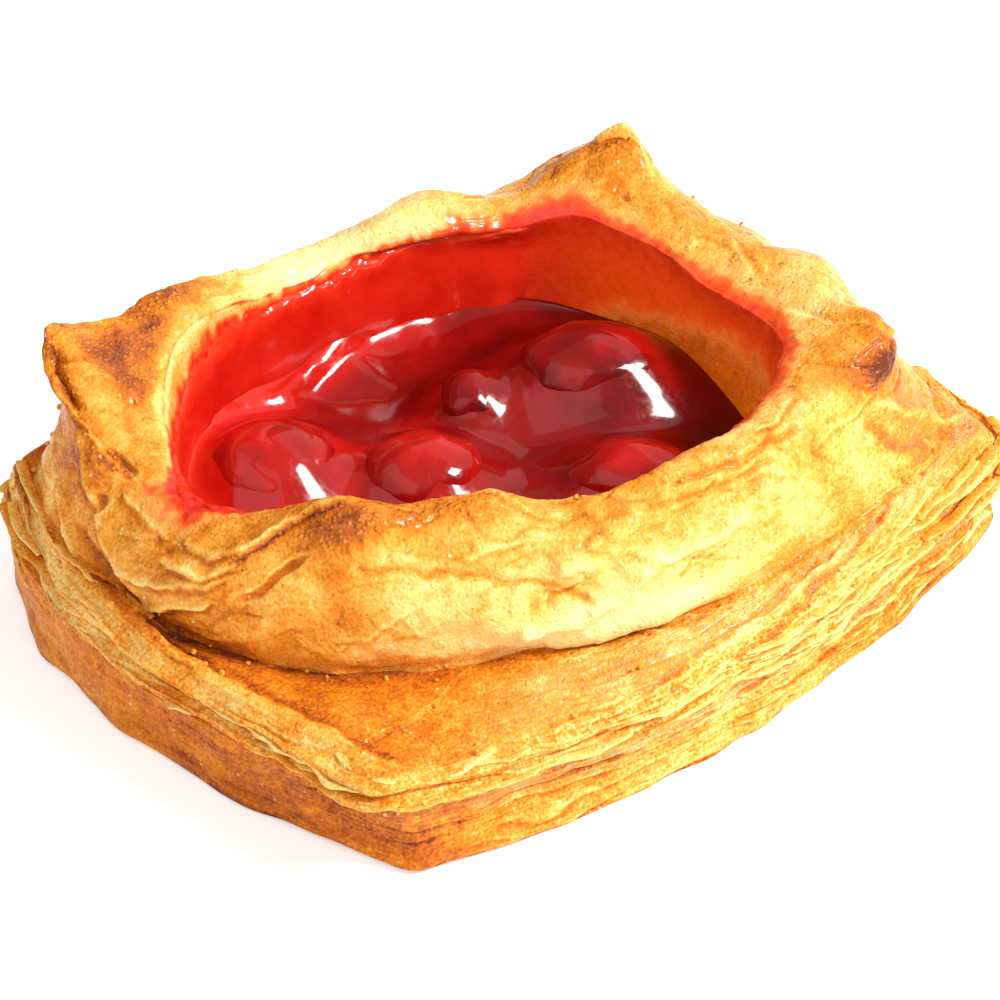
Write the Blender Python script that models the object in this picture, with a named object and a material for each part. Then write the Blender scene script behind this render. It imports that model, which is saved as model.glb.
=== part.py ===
"""Fruit danish: puff pastry with a raised frame round an open well of red jam and whole fruit.

Sizes are in millimetres and are turned into metres when a mesh is written. The origin is on the
surface it rests on, at the middle of the bounding box. +X runs along the longer pair of sides,
from the front corner to the right corner, +Y from the front corner to the left corner.

The pastry is drawn as cross-sections at eight stations round it: the four corners and the middles
of the four sides. Between stations every size is interpolated, so one rule makes the whole body.
"""

import math
from dataclasses import dataclass, fields

import bmesh
import bpy
from mathutils import Euler, Vector, noise

MM = 0.001
GAP = 0.4
BOX_MIDDLE = Vector((-0.815, -0.33, 0.0))

COLUMNS = 128
CORNER_CROWDING = 0.45
FACE_ROWS, LIP_ROWS, WALL_ROWS = 10, 4, 6
SOLE_INSET = 1.4
SOLE_ROUND, SOLE_RISE, SOLE_CLEAR = 0.3, 0.7, 0.3
LEAVES = 4
LEAF_LOW, LEAF_HIGH = 0.12, 0.86
LEAF_DEPTH = 0.8
LEAF_STEP = 0.1
FLAP_EDGE = ((0.0, 0.30), (-1.3, 0.42), (-0.8, 0.66))
FLAP_LEAN = 2.2
FLAP_CROWN = 0.5
WELL_FLOOR = 7.5
WALL_HOLLOW = 1.4
SLAB_SOFTNESS = 0.05
RING_SOFTNESS = 0.30

BROAD_WAVE, FINE_WAVE, LEAF_WAVE = 15.0, 5.5, 7.0
FINE_SHARE = 0.4
RIM_STRAY = (0.9, 0.9, 0.8)
WALL_STRAY = (0.3, 0.3, 0.0)
LEAF_STRAY = 0.9
LEAF_SHIFT = 3.7
AXIS_SHIFT = 31.7


@dataclass(frozen=True)
class Section:
    """The named sizes of one cross-section. Each reach runs from the middle of the well outwards."""

    edge_x: float
    edge_y: float
    slab_top: float
    groove: float
    overhang: float
    flap_thick: float
    crease_reach: float
    crease_z: float
    belly: float
    crest_reach: float
    crest_z: float
    lip_reach: float
    lip_z: float
    foot_reach: float
    jam_z: float


SECTIONS = {
    "front": Section(-46.8, -36.2, 10.6, 2.2, 1.2, 3.0, 38.5, 15.6, 1.2, 28.4, 33.8, 25.2, 31.8, 22.8, 15.5),
    "front_right": Section(2.0, -45.2, 9.6, 2.0, 0.8, 6.6, 36.0, 16.4, 1.0, 29.2, 33.6, 26.8, 31.0, 24.4, 15.0),
    "right": Section(53.4, -36.8, 8.8, 3.4, 2.2, 6.6, 60.0, 18.0, -6.0, 46.4, 32.6, 35.0, 30.6, 31.8, 14.5),
    "right_back": Section(55.0, 1.0, 9.6, 2.2, 0.6, 5.6, 50.0, 16.4, 0.8, 38.4, 30.6, 32.2, 29.4, 29.4, 15.0),
    "back": Section(49.4, 37.2, 9.6, 2.8, 1.2, 5.0, 54.0, 16.4, 1.0, 45.0, 31.0, 35.0, 28.8, 31.4, 16.0),
    "back_left": Section(0.0, 44.6, 9.8, 2.2, 0.6, 5.6, 40.4, 16.4, 0.6, 35.2, 29.6, 32.2, 27.4, 28.4, 19.0),
    "left": Section(-50.4, 38.3, 12.6, 3.6, 1.0, 6.0, 61.0, 21.0, -3.0, 53.6, 32.4, 40.6, 30.0, 36.8, 21.0),
    "left_front": Section(-57.0, 6.0, 11.0, 2.0, 0.4, 6.2, 51.4, 16.0, 1.2, 43.6, 29.0, 41.2, 26.6, 38.6, 19.5),
}
STATIONS = tuple(SECTIONS.values())
ROUND_SIZES = ("lip_reach", "foot_reach", "lip_z", "crest_z", "jam_z", "groove")
SOFT_SIZES = ("crease_reach", "crease_z", "crest_reach", "belly")


@dataclass(frozen=True)
class Pull:
    """A patch of the frame that the oven drew out: its place, width and height up the face, its move."""

    centre: tuple
    width: float
    up: float
    spread: float
    move: tuple


PULLS = (
    Pull((-44.0, 33.0), 8.0, 1.0, 0.42, (-2.4, 6.6, 6.2)),
    Pull((-48.0, 34.0), 5.0, 0.66, 0.18, (4.2, -3.2, 0.0)),
    Pull((-24.0, 35.0), 11.0, 1.0, 0.5, (0.0, 2.0, 3.0)),
    Pull((26.0, 32.0), 9.0, 1.0, 0.6, (-0.5, -2.4, -1.8)),
    Pull((38.0, 25.5), 7.0, 1.0, 0.42, (5.0, -1.2, 4.6)),
    Pull((39.0, -25.0), 6.5, 1.0, 0.5, (0.8, -1.6, 2.4)),
    Pull((-31.0, -10.0), 6.0, 0.9, 0.3, (-0.8, -0.8, 1.8)),
    Pull((-33.0, 0.0), 9.0, 1.0, 0.6, (1.2, 1.2, 2.4)),
    Pull((-32.0, -6.0), 7.0, 1.0, 0.5, (0.8, 0.8, 1.6)),
    Pull((-12.0, -26.0), 9.0, 1.0, 0.6, (-0.6, -1.0, -2.0)),
    Pull((46.0, -10.0), 6.5, 0.75, 0.4, (2.2, 0.4, 1.6)),
    Pull((-48.0, -36.0), 8.0, -0.3, 0.3, (-1.8, 2.0, 1.4)),
    Pull((-51.0, 39.0), 8.0, -0.3, 0.3, (-0.4, 0.4, 3.0)),
    Pull((55.0, -38.0), 7.0, -0.3, 0.3, (0.8, 0.0, 1.4)),
)


@dataclass(frozen=True)
class Fruit:
    """One lump of fruit: the middle of it, half of each size, and how it lies."""

    centre: tuple
    half: tuple
    yaw: float
    pitch: float


FRUITS = (
    Fruit((19.2, 4.2, 16.6), (10.8, 7.8, 7.4), -36, 8),
    Fruit((4.4, 10.6, 15.4), (5.2, 5.0, 5.6), 10, 0),
    Fruit((-24.4, 16.2, 17.4), (8.8, 8.2, 7.0), -30, -6),
    Fruit((-10.0, 3.8, 15.8), (8.4, 7.2, 6.6), -20, 4),
    Fruit((10.8, -13.0, 14.8), (9.4, 6.4, 6.0), -40, 2),
)

JAM_COLUMNS = 64
JAM_RINGS = 9
JAM_LEVEL = 14.2
JAM_SIDE_ROWS = 3


def by_sides(name, place):
    """A size on a parabola through the three stations of a side, with a kink at each corner."""
    side, along = divmod(place % 8, 2)
    first = int(side) * 2
    a, b, c = (getattr(STATIONS[(first + k) % 8], name) for k in range(3))
    s = along / 2
    return a * (1 - s) * (1 - 2 * s) + b * 4 * s * (1 - s) + c * s * (2 * s - 1)


def all_round(name, place):
    """A size on one smooth curve through all eight stations, with no corners."""
    station, s = divmod(place % 8, 1)
    a, b, c, d = (getattr(STATIONS[(int(station) + k) % 8], name) for k in (-1, 0, 1, 2))
    return b + 0.5 * s * (c - a + s * (2 * a - 5 * b + 4 * c - d + s * (3 * (b - c) + d - a)))


def softened(name, place, softness):
    """A size by sides, averaged over a short stretch, which rounds off the corners."""
    steps = ((-1.0, 1), (-0.5, 2), (0.0, 3), (0.5, 2), (1.0, 1))
    return sum(w * by_sides(name, place + k * softness) for k, w in steps) / 9


def section_at(place):
    sizes = {}
    for field in fields(Section):
        name = field.name
        if name in ROUND_SIZES:
            sizes[name] = all_round(name, place)
        else:
            sizes[name] = softened(name, place, RING_SOFTNESS if name in SOFT_SIZES else SLAB_SOFTNESS)
    return Section(**sizes)


def column_place(column, columns):
    """Columns stand closer together at the corners, where the outline turns sharply."""
    side, along = divmod(4.0 * column / columns, 1)
    along -= CORNER_CROWDING * math.sin(2 * math.pi * along) / (2 * math.pi)
    return 2 * (side + along)


def edge_reach(s):
    return math.hypot(s.edge_x, s.edge_y)


def leaf_rows(s):
    """Reach and height of the rows from the sole up the layered side to the groove over it."""
    top, edge = s.slab_top, edge_reach(s)
    rows = [(edge - SOLE_INSET, 0.0), (edge - SOLE_ROUND, SOLE_RISE)]
    for k in range(LEAVES):
        if k:
            rows.append((edge - LEAF_DEPTH, top * (k + LEAF_LOW) / LEAVES))
        rows.append((edge - LEAF_STEP * k, top * (k + LEAF_HIGH) / LEAVES))
    rows.append((edge - s.groove, top + GAP))
    return rows


def flap_rows(s):
    """The top flap: under its overhang, round its split edge, and over it down into the crease."""
    low, thick, edge = s.slab_top, s.flap_thick, edge_reach(s)
    tip, shoulder = edge + s.overhang, edge - FLAP_LEAN
    rows = [(tip - SOLE_ROUND, low + 2 * GAP)]
    rows += [(tip + out, low + up * thick) for out, up in FLAP_EDGE]
    rows.append((shoulder, low + thick))
    crown = 0.5 * (low + thick + s.crease_z) + FLAP_CROWN
    rows.append((0.5 * (shoulder + s.crease_reach), crown))
    rows.append((s.crease_reach, s.crease_z))
    return rows


def face_rows(s):
    """The frame's outer face, from the crease up to the crest: upright below and rounded over."""
    rows = []
    for k in range(1, FACE_ROWS + 1):
        turn = 0.5 * math.pi * k / FACE_ROWS
        reach = s.crease_reach + (s.crest_reach - s.crease_reach) * (1 - math.cos(turn)) ** 0.9
        reach += s.belly * math.sin(2 * turn) * math.cos(turn)
        rows.append((reach, s.crease_z + (s.crest_z - s.crease_z) * math.sin(turn)))
    return rows


def wall_reach(s, height):
    """How far the well's wall stands from the middle at a height under the lip."""
    fall = (s.lip_z - height) / (s.lip_z - WELL_FLOOR)
    return s.lip_reach + (s.foot_reach - s.lip_reach) * fall**WALL_HOLLOW


def well_rows(s):
    """The crest's inner slope to the lip, and the well's wall down to its floor."""
    rows = []
    for k in range(1, LIP_ROWS + 1):
        turn = 0.5 * math.pi * k / LIP_ROWS
        reach = s.crest_reach + (s.lip_reach - s.crest_reach) * math.sin(turn)
        rows.append((reach, s.lip_z + (s.crest_z - s.lip_z) * math.cos(turn)))
    for k in range(1, WALL_ROWS + 1):
        height = s.lip_z + (WELL_FLOOR - s.lip_z) * k / WALL_ROWS
        rows.append((wall_reach(s, height), height))
    return rows


def pastry_rows(s):
    return leaf_rows(s) + flap_rows(s) + face_rows(s) + well_rows(s)


FLAP_START = len(leaf_rows(STATIONS[0]))
SHOULDER_ROW = FLAP_START + len(FLAP_EDGE) + 1
CREASE_ROW = SHOULDER_ROW + 2
WALL_START = CREASE_ROW + FACE_ROWS + LIP_ROWS + 1


def placed(s, reach, height):
    return Vector((s.edge_x, s.edge_y, 0)) * (reach / edge_reach(s)) + Vector((0, 0, height))


def wander(point):
    """A smooth uneven vector that depends on the point alone, each part of it within -1 to 1."""
    return Vector(noise.noise(point + Vector((0, 0, k * AXIS_SHIFT))) for k in range(3))


def unevenness(point, row):
    """How far the baked surface strays from its smooth form, in mm, at a point in mm."""
    if row == 0:
        return Vector((0, 0, 0))
    stray = RIM_STRAY if row < WALL_START else WALL_STRAY
    broad = wander(point / BROAD_WAVE)
    fine = wander(point / FINE_WAVE)
    move = Vector(a * (b + FINE_SHARE * f) for a, b, f in zip(stray, broad, fine))
    if row < SHOULDER_ROW:
        leaf = noise.noise(Vector((point.x / LEAF_WAVE, point.y / LEAF_WAVE, LEAF_SHIFT * row)))
        move += Vector((point.x, point.y, 0)).normalized() * LEAF_STRAY * leaf
    return move


def pulled(point, row):
    """The move that the drawn-out patches give a point of the frame."""
    move = Vector((0, 0, 0))
    if not FLAP_START <= row < WALL_START:
        return move
    up = (row - CREASE_ROW) / FACE_ROWS
    for pull in PULLS:
        apart = (Vector((point.x, point.y)) - Vector(pull.centre)).length / pull.width
        rise = min(0, up - pull.up) / pull.spread if pull.up == 1.0 else (up - pull.up) / pull.spread
        move += Vector(pull.move) * math.exp(-apart * apart - rise * rise)
    return move


def drum(rows, columns):
    """A closed drum of quads; a vertex's height is its row number and its angle its column."""
    bm = bmesh.new()
    profile = [bm.verts.new((1, 0, k)) for k in range(rows)]
    edges = [bm.edges.new(pair) for pair in zip(profile, profile[1:])]
    turn = {"cent": (0, 0, 0), "axis": (0, 0, 1), "angle": 2 * math.pi}
    bmesh.ops.spin(bm, geom=profile + edges, steps=columns, use_merge=True, **turn)
    bmesh.ops.holes_fill(bm, edges=[e for e in bm.edges if e.is_boundary], sides=columns)
    return bm


def row_and_column(vertex, columns):
    turn = math.atan2(vertex.co.y, vertex.co.x) / (2 * math.pi)
    return round(vertex.co.z), round(turn * columns) % columns


def material(name, colour, roughness):
    made = bpy.data.materials.new(name)
    made.use_nodes = True
    shader = made.node_tree.nodes["Principled BSDF"]
    shader.inputs["Base Color"].default_value = (*colour, 1)
    shader.inputs["Roughness"].default_value = roughness
    return made


def finished(name, bm, look):
    """The object of a mesh in mm, centred, with smooth shading up to its sharp edges."""
    bmesh.ops.translate(bm, vec=-BOX_MIDDLE, verts=bm.verts)
    bmesh.ops.scale(bm, vec=(MM, MM, MM), verts=bm.verts)
    bmesh.ops.recalc_face_normals(bm, faces=bm.faces)
    mesh = bpy.data.meshes.new(name)
    bm.to_mesh(mesh)
    bm.free()
    mesh.materials.append(look)
    mesh.shade_smooth()
    mesh.set_sharp_from_angle(angle=math.radians(50))
    made = bpy.data.objects.new(name, mesh)
    bpy.context.scene.collection.objects.link(made)
    return made


def make_pastry(look):
    sections = [section_at(column_place(k, COLUMNS)) for k in range(COLUMNS)]
    rows = [pastry_rows(s) for s in sections]
    bm = drum(len(rows[0]), COLUMNS)
    for vertex in bm.verts:
        row, column = row_and_column(vertex, COLUMNS)
        point = placed(sections[column], *rows[column][row])
        vertex.co = point + pulled(point, row) + unevenness(point, row)
        if row:
            vertex.co.z = max(vertex.co.z, SOLE_CLEAR)
    return finished("pastry", bm, look)


def jam_rows(s):
    """Reach and height of the jam's underside, its side along the wall, and its sloping top."""
    bottom = WELL_FLOOR + GAP
    rows = []
    for k in range(JAM_SIDE_ROWS + 1):
        height = bottom + (s.jam_z - bottom) * k / JAM_SIDE_ROWS
        rows.append((wall_reach(s, height) - GAP, height))
    rim = rows[-1][0]
    for k in range(1, JAM_RINGS):
        inward = k / JAM_RINGS
        rows.append((rim * (1 - inward), JAM_LEVEL + (s.jam_z - JAM_LEVEL) * (1 - inward) ** 2))
    return rows


def ripple(point):
    """The low waves of the jam's surface, in mm."""
    return 0.5 * noise.noise(point / 8) + 0.2 * noise.noise(point / 3)


def make_jam(look):
    sections = [section_at(column_place(k, JAM_COLUMNS)) for k in range(JAM_COLUMNS)]
    rows = [jam_rows(s) for s in sections]
    bm = drum(len(rows[0]), JAM_COLUMNS)
    for vertex in bm.verts:
        row, column = row_and_column(vertex, JAM_COLUMNS)
        point = placed(sections[column], *rows[column][row])
        if row <= JAM_SIDE_ROWS:
            vertex.co = point + unevenness(point, WALL_START)
        else:
            vertex.co = point + Vector((0, 0, ripple(point)))
    return finished("jam", bm, look)


def fruit_body(fruit, swell):
    """One lump of fruit, or with swell the hollow that it leaves in the jam."""
    bm = bmesh.new()
    bmesh.ops.create_icosphere(bm, subdivisions=3, radius=1)
    lie = Euler((math.radians(fruit.pitch), 0, math.radians(fruit.yaw))).to_matrix()
    for vertex in bm.verts:
        way = vertex.co.normalized()
        size = Vector(h + swell for h in fruit.half)
        dent = 1 + 0.07 * noise.noise(way * 1.4 + Vector(fruit.centre))
        vertex.co = Vector(fruit.centre) + lie @ Vector(w * h * dent for w, h in zip(way, size))
    return bm


def make_fruit(number, fruit, jam, look, hollow_look):
    made = finished(f"fruit_{number}", fruit_body(fruit, 0), look)
    hollow = finished(f"hollow_{number}", fruit_body(fruit, GAP), hollow_look)
    hollow.hide_render = True
    hollow.display_type = "WIRE"
    cut = jam.modifiers.new(f"hollow_{number}", "BOOLEAN")
    cut.operation = "DIFFERENCE"
    cut.object = hollow
    return made


def main():
    for old in list(bpy.data.objects):
        bpy.data.objects.remove(old)
    crust = material("crust", (0.80, 0.42, 0.10), 0.5)
    jelly = material("jelly", (0.60, 0.01, 0.01), 0.1)
    skin = material("skin", (0.35, 0.01, 0.01), 0.15)
    make_pastry(crust)
    jam = make_jam(jelly)
    for number, fruit in enumerate(FRUITS, 1):
        make_fruit(number, fruit, jam, skin, jelly)


main()
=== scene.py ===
"""Fruit danish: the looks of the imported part, a puff pastry with a raised frame round a well of jam.

The dough is drawn again here at a fine grain, from the same named sizes as its solid: sections at
eight stations round it, with smooth curves between them. Places run from 0 to 8 round the dough: 0 is
the front corner, 2 the right one, 4 the back one and 6 the left one. Rows run from the sole up the
side, over the flap, up the frame's face, over its crest and down the wall of the well. Sizes are in
millimetres, and become metres when a mesh is written.
"""

import itertools
import logging
import math
from collections.abc import Iterable
from dataclasses import dataclass, fields
from enum import Enum
from functools import cached_property

import bmesh
import bpy
import numpy as np
from mathutils import Euler, Matrix, Vector, noise

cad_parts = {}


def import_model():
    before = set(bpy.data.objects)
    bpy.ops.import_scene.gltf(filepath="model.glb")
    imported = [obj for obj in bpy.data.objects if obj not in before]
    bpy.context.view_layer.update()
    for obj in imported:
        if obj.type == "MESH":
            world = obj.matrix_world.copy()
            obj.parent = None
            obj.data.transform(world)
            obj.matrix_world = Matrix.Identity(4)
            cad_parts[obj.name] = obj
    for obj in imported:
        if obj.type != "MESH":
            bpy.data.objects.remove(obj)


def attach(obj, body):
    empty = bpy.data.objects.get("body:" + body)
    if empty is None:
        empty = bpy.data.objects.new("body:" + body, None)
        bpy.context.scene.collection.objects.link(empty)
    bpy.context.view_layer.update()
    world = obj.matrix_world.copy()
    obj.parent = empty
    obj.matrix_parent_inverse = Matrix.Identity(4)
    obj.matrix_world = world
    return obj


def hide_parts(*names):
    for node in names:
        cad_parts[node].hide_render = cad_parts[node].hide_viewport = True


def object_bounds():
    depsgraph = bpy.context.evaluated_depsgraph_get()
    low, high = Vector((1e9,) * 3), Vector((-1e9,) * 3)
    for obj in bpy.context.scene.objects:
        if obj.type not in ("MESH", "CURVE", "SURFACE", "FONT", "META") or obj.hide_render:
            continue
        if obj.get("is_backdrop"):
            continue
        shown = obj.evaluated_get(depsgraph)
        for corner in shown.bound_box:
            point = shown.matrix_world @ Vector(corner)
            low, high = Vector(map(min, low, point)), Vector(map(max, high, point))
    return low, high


log = logging.getLogger("danish")

MM = 0.001  # metres in a millimetre
GAP = 0.4  # mm over the slab's top, and between the jam and the well
TURNS = 8.0  # places in one turn round the dough
LINE_REACH = 0.25  # how many places beyond its stops a line is felt
BOX_MIDDLE = np.array((-0.815, -0.33, 0.0))  # the origin, as the dough's own sizes have it, in mm

Colour = tuple[float, float, float]
Ramp = tuple[tuple[float, Colour], ...]
Pairs = tuple[tuple[float, float], ...]
Runs = tuple[tuple[float, float, int], ...]


def tone(red: int, green: int, blue: int) -> Colour:
    """The linear colour of a red, green and blue of 0 to 255."""
    shares = (value / 255 for value in (red, green, blue))
    return tuple(c / 12.92 if c < 0.0405 else ((c + 0.055) / 1.055) ** 2.4 for c in shares)


def eased(value: np.ndarray, low: float, high: float) -> np.ndarray:
    """A smooth step from 0 where the value is at low to 1 where it is at high."""
    t = np.clip((value - low) / (high - low), 0.0, 1.0)
    return t * t * (3 - 2 * t)


def place_gap(places: np.ndarray, place: float) -> np.ndarray:
    """How far places lie from one place, the short way round, with its sign."""
    return (places - place + TURNS / 2) % TURNS - TURNS / 2


def round_place(places: np.ndarray, place: float, width: float, power: int = 2) -> np.ndarray:
    """A smooth hump round one place of the dough.

    Args:
        places: The places of the columns.
        place: Where the hump is highest, 1.
        width: How far from there it has fallen to about a third.
        power: 2 for a round hump, 4 for a flat-topped one.

    Returns:
        The hump's height at each column, as an array of one row.
    """
    return np.exp(-((place_gap(places, place) / width) ** power))[None, :]


class Grain:
    """Smooth seeded noise in space, worked out for whole arrays of points at once."""

    def __init__(self, seed: int) -> None:
        """Draws the table of slopes.

        Args:
            seed: Which of the endless grains this is.
        """
        draw = np.random.default_rng(seed)
        self.order = draw.permutation(256)
        slopes = draw.normal(size=(256, 3))
        self.slopes = slopes / np.linalg.norm(slopes, axis=1, keepdims=True)

    def at(self, points: np.ndarray, wave: float | tuple[float, float, float]) -> np.ndarray:
        """The grain's height at points.

        Args:
            points: Points in mm, with x, y and z in the last axis.
            wave: The length of a wave in mm, or one for each axis.

        Returns:
            Heights that lie mostly between -1 and 1.
        """
        scaled = points / np.asarray(wave)
        cell = np.floor(scaled).astype(int)
        part = scaled - cell
        ease = part**3 * (part * (part * 6 - 15) + 10)
        total = np.zeros(points.shape[:-1])
        for corner in itertools.product((0, 1), repeat=3):
            at = (cell + corner) & 255
            index = self.order[(self.order[(self.order[at[..., 0]] + at[..., 1]) & 255] + at[..., 2]) & 255]
            weight = np.prod(np.where(corner, ease, 1 - ease), axis=-1)
            total += weight * np.sum(self.slopes[index] * (part - corner), axis=-1)
        return 1.7 * total


@dataclass(frozen=True)
class Section:
    """The named sizes of one cross-section. Each reach runs from the middle of the well outwards."""

    edge_x: float
    edge_y: float
    slab_top: float
    groove: float
    overhang: float
    flap_thick: float
    crease_reach: float
    crease_z: float
    belly: float
    crest_reach: float
    crest_z: float
    lip_reach: float
    lip_z: float
    foot_reach: float
    jam_z: float

    @property
    def edge_reach(self) -> float:
        """How far the slab's edge stands from the middle."""
        return math.hypot(self.edge_x, self.edge_y)


STATIONS = (
    Section(-46.8, -36.2, 10.6, 2.2, 1.2, 3.0, 38.5, 15.6, 1.2, 28.4, 33.8, 25.2, 31.8, 22.8, 15.5),
    Section(2.0, -45.2, 9.6, 2.0, 0.8, 6.6, 36.0, 16.4, 1.0, 29.2, 33.6, 26.8, 31.0, 24.4, 15.0),
    Section(53.4, -36.8, 8.8, 3.4, 2.2, 6.6, 60.0, 18.0, -6.0, 46.4, 32.6, 35.0, 30.6, 31.8, 14.5),
    Section(55.0, 1.0, 9.6, 2.2, 0.6, 5.6, 50.0, 16.4, 0.8, 38.4, 30.6, 32.2, 29.4, 29.4, 15.0),
    Section(49.4, 37.2, 9.6, 2.8, 1.2, 5.0, 54.0, 16.4, 1.0, 45.0, 31.0, 35.0, 28.8, 31.4, 16.0),
    Section(0.0, 44.6, 9.8, 2.2, 0.6, 5.6, 40.4, 16.4, 0.6, 35.2, 29.6, 32.2, 27.4, 28.4, 19.0),
    Section(-50.4, 38.3, 12.6, 3.6, 1.0, 6.0, 61.0, 21.0, -3.0, 53.6, 32.4, 40.6, 30.0, 36.8, 21.0),
    Section(-57.0, 6.0, 11.0, 2.0, 0.4, 6.2, 51.4, 16.0, 1.2, 43.6, 29.0, 41.2, 26.6, 38.6, 19.5),
)
ROUND_SIZES = ("lip_reach", "foot_reach", "lip_z", "crest_z", "jam_z", "groove")
SOFT_SIZES = ("crease_reach", "crease_z", "crest_reach", "belly")


@dataclass(frozen=True)
class Pull:
    """A patch of the frame that the oven drew out: its place, width and height up the face, its move."""

    centre: tuple[float, float]
    width: float
    up: float
    spread: float
    move: tuple[float, float, float]


PULLS = (
    Pull((-44.0, 33.0), 8.0, 1.0, 0.42, (-2.4, 6.6, 6.2)),
    Pull((-48.0, 34.0), 5.0, 0.66, 0.18, (4.2, -3.2, 0.0)),
    Pull((-24.0, 35.0), 11.0, 1.0, 0.5, (0.0, 2.0, 3.0)),
    Pull((26.0, 32.0), 9.0, 1.0, 0.6, (-0.5, -2.4, -1.8)),
    Pull((38.0, 25.5), 7.0, 1.0, 0.42, (5.0, -1.2, 4.6)),
    Pull((39.0, -25.0), 6.5, 1.0, 0.5, (0.8, -1.6, 2.4)),
    Pull((-31.0, -10.0), 6.0, 0.9, 0.3, (-0.8, -0.8, 1.8)),
    Pull((-33.0, 0.0), 9.0, 1.0, 0.6, (1.2, 1.2, 2.4)),
    Pull((-32.0, -6.0), 7.0, 1.0, 0.5, (0.8, 0.8, 1.6)),
    Pull((-12.0, -26.0), 9.0, 1.0, 0.6, (-0.6, -1.0, -2.0)),
    Pull((46.0, -10.0), 6.5, 0.75, 0.4, (2.2, 0.4, 1.6)),
    Pull((-48.0, -36.0), 8.0, -0.3, 0.3, (-1.8, 2.0, 1.4)),
    Pull((-51.0, 39.0), 8.0, -0.3, 0.3, (-0.4, 0.4, 3.0)),
    Pull((55.0, -38.0), 7.0, -0.3, 0.3, (0.8, 0.0, 1.4)),
)


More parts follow.
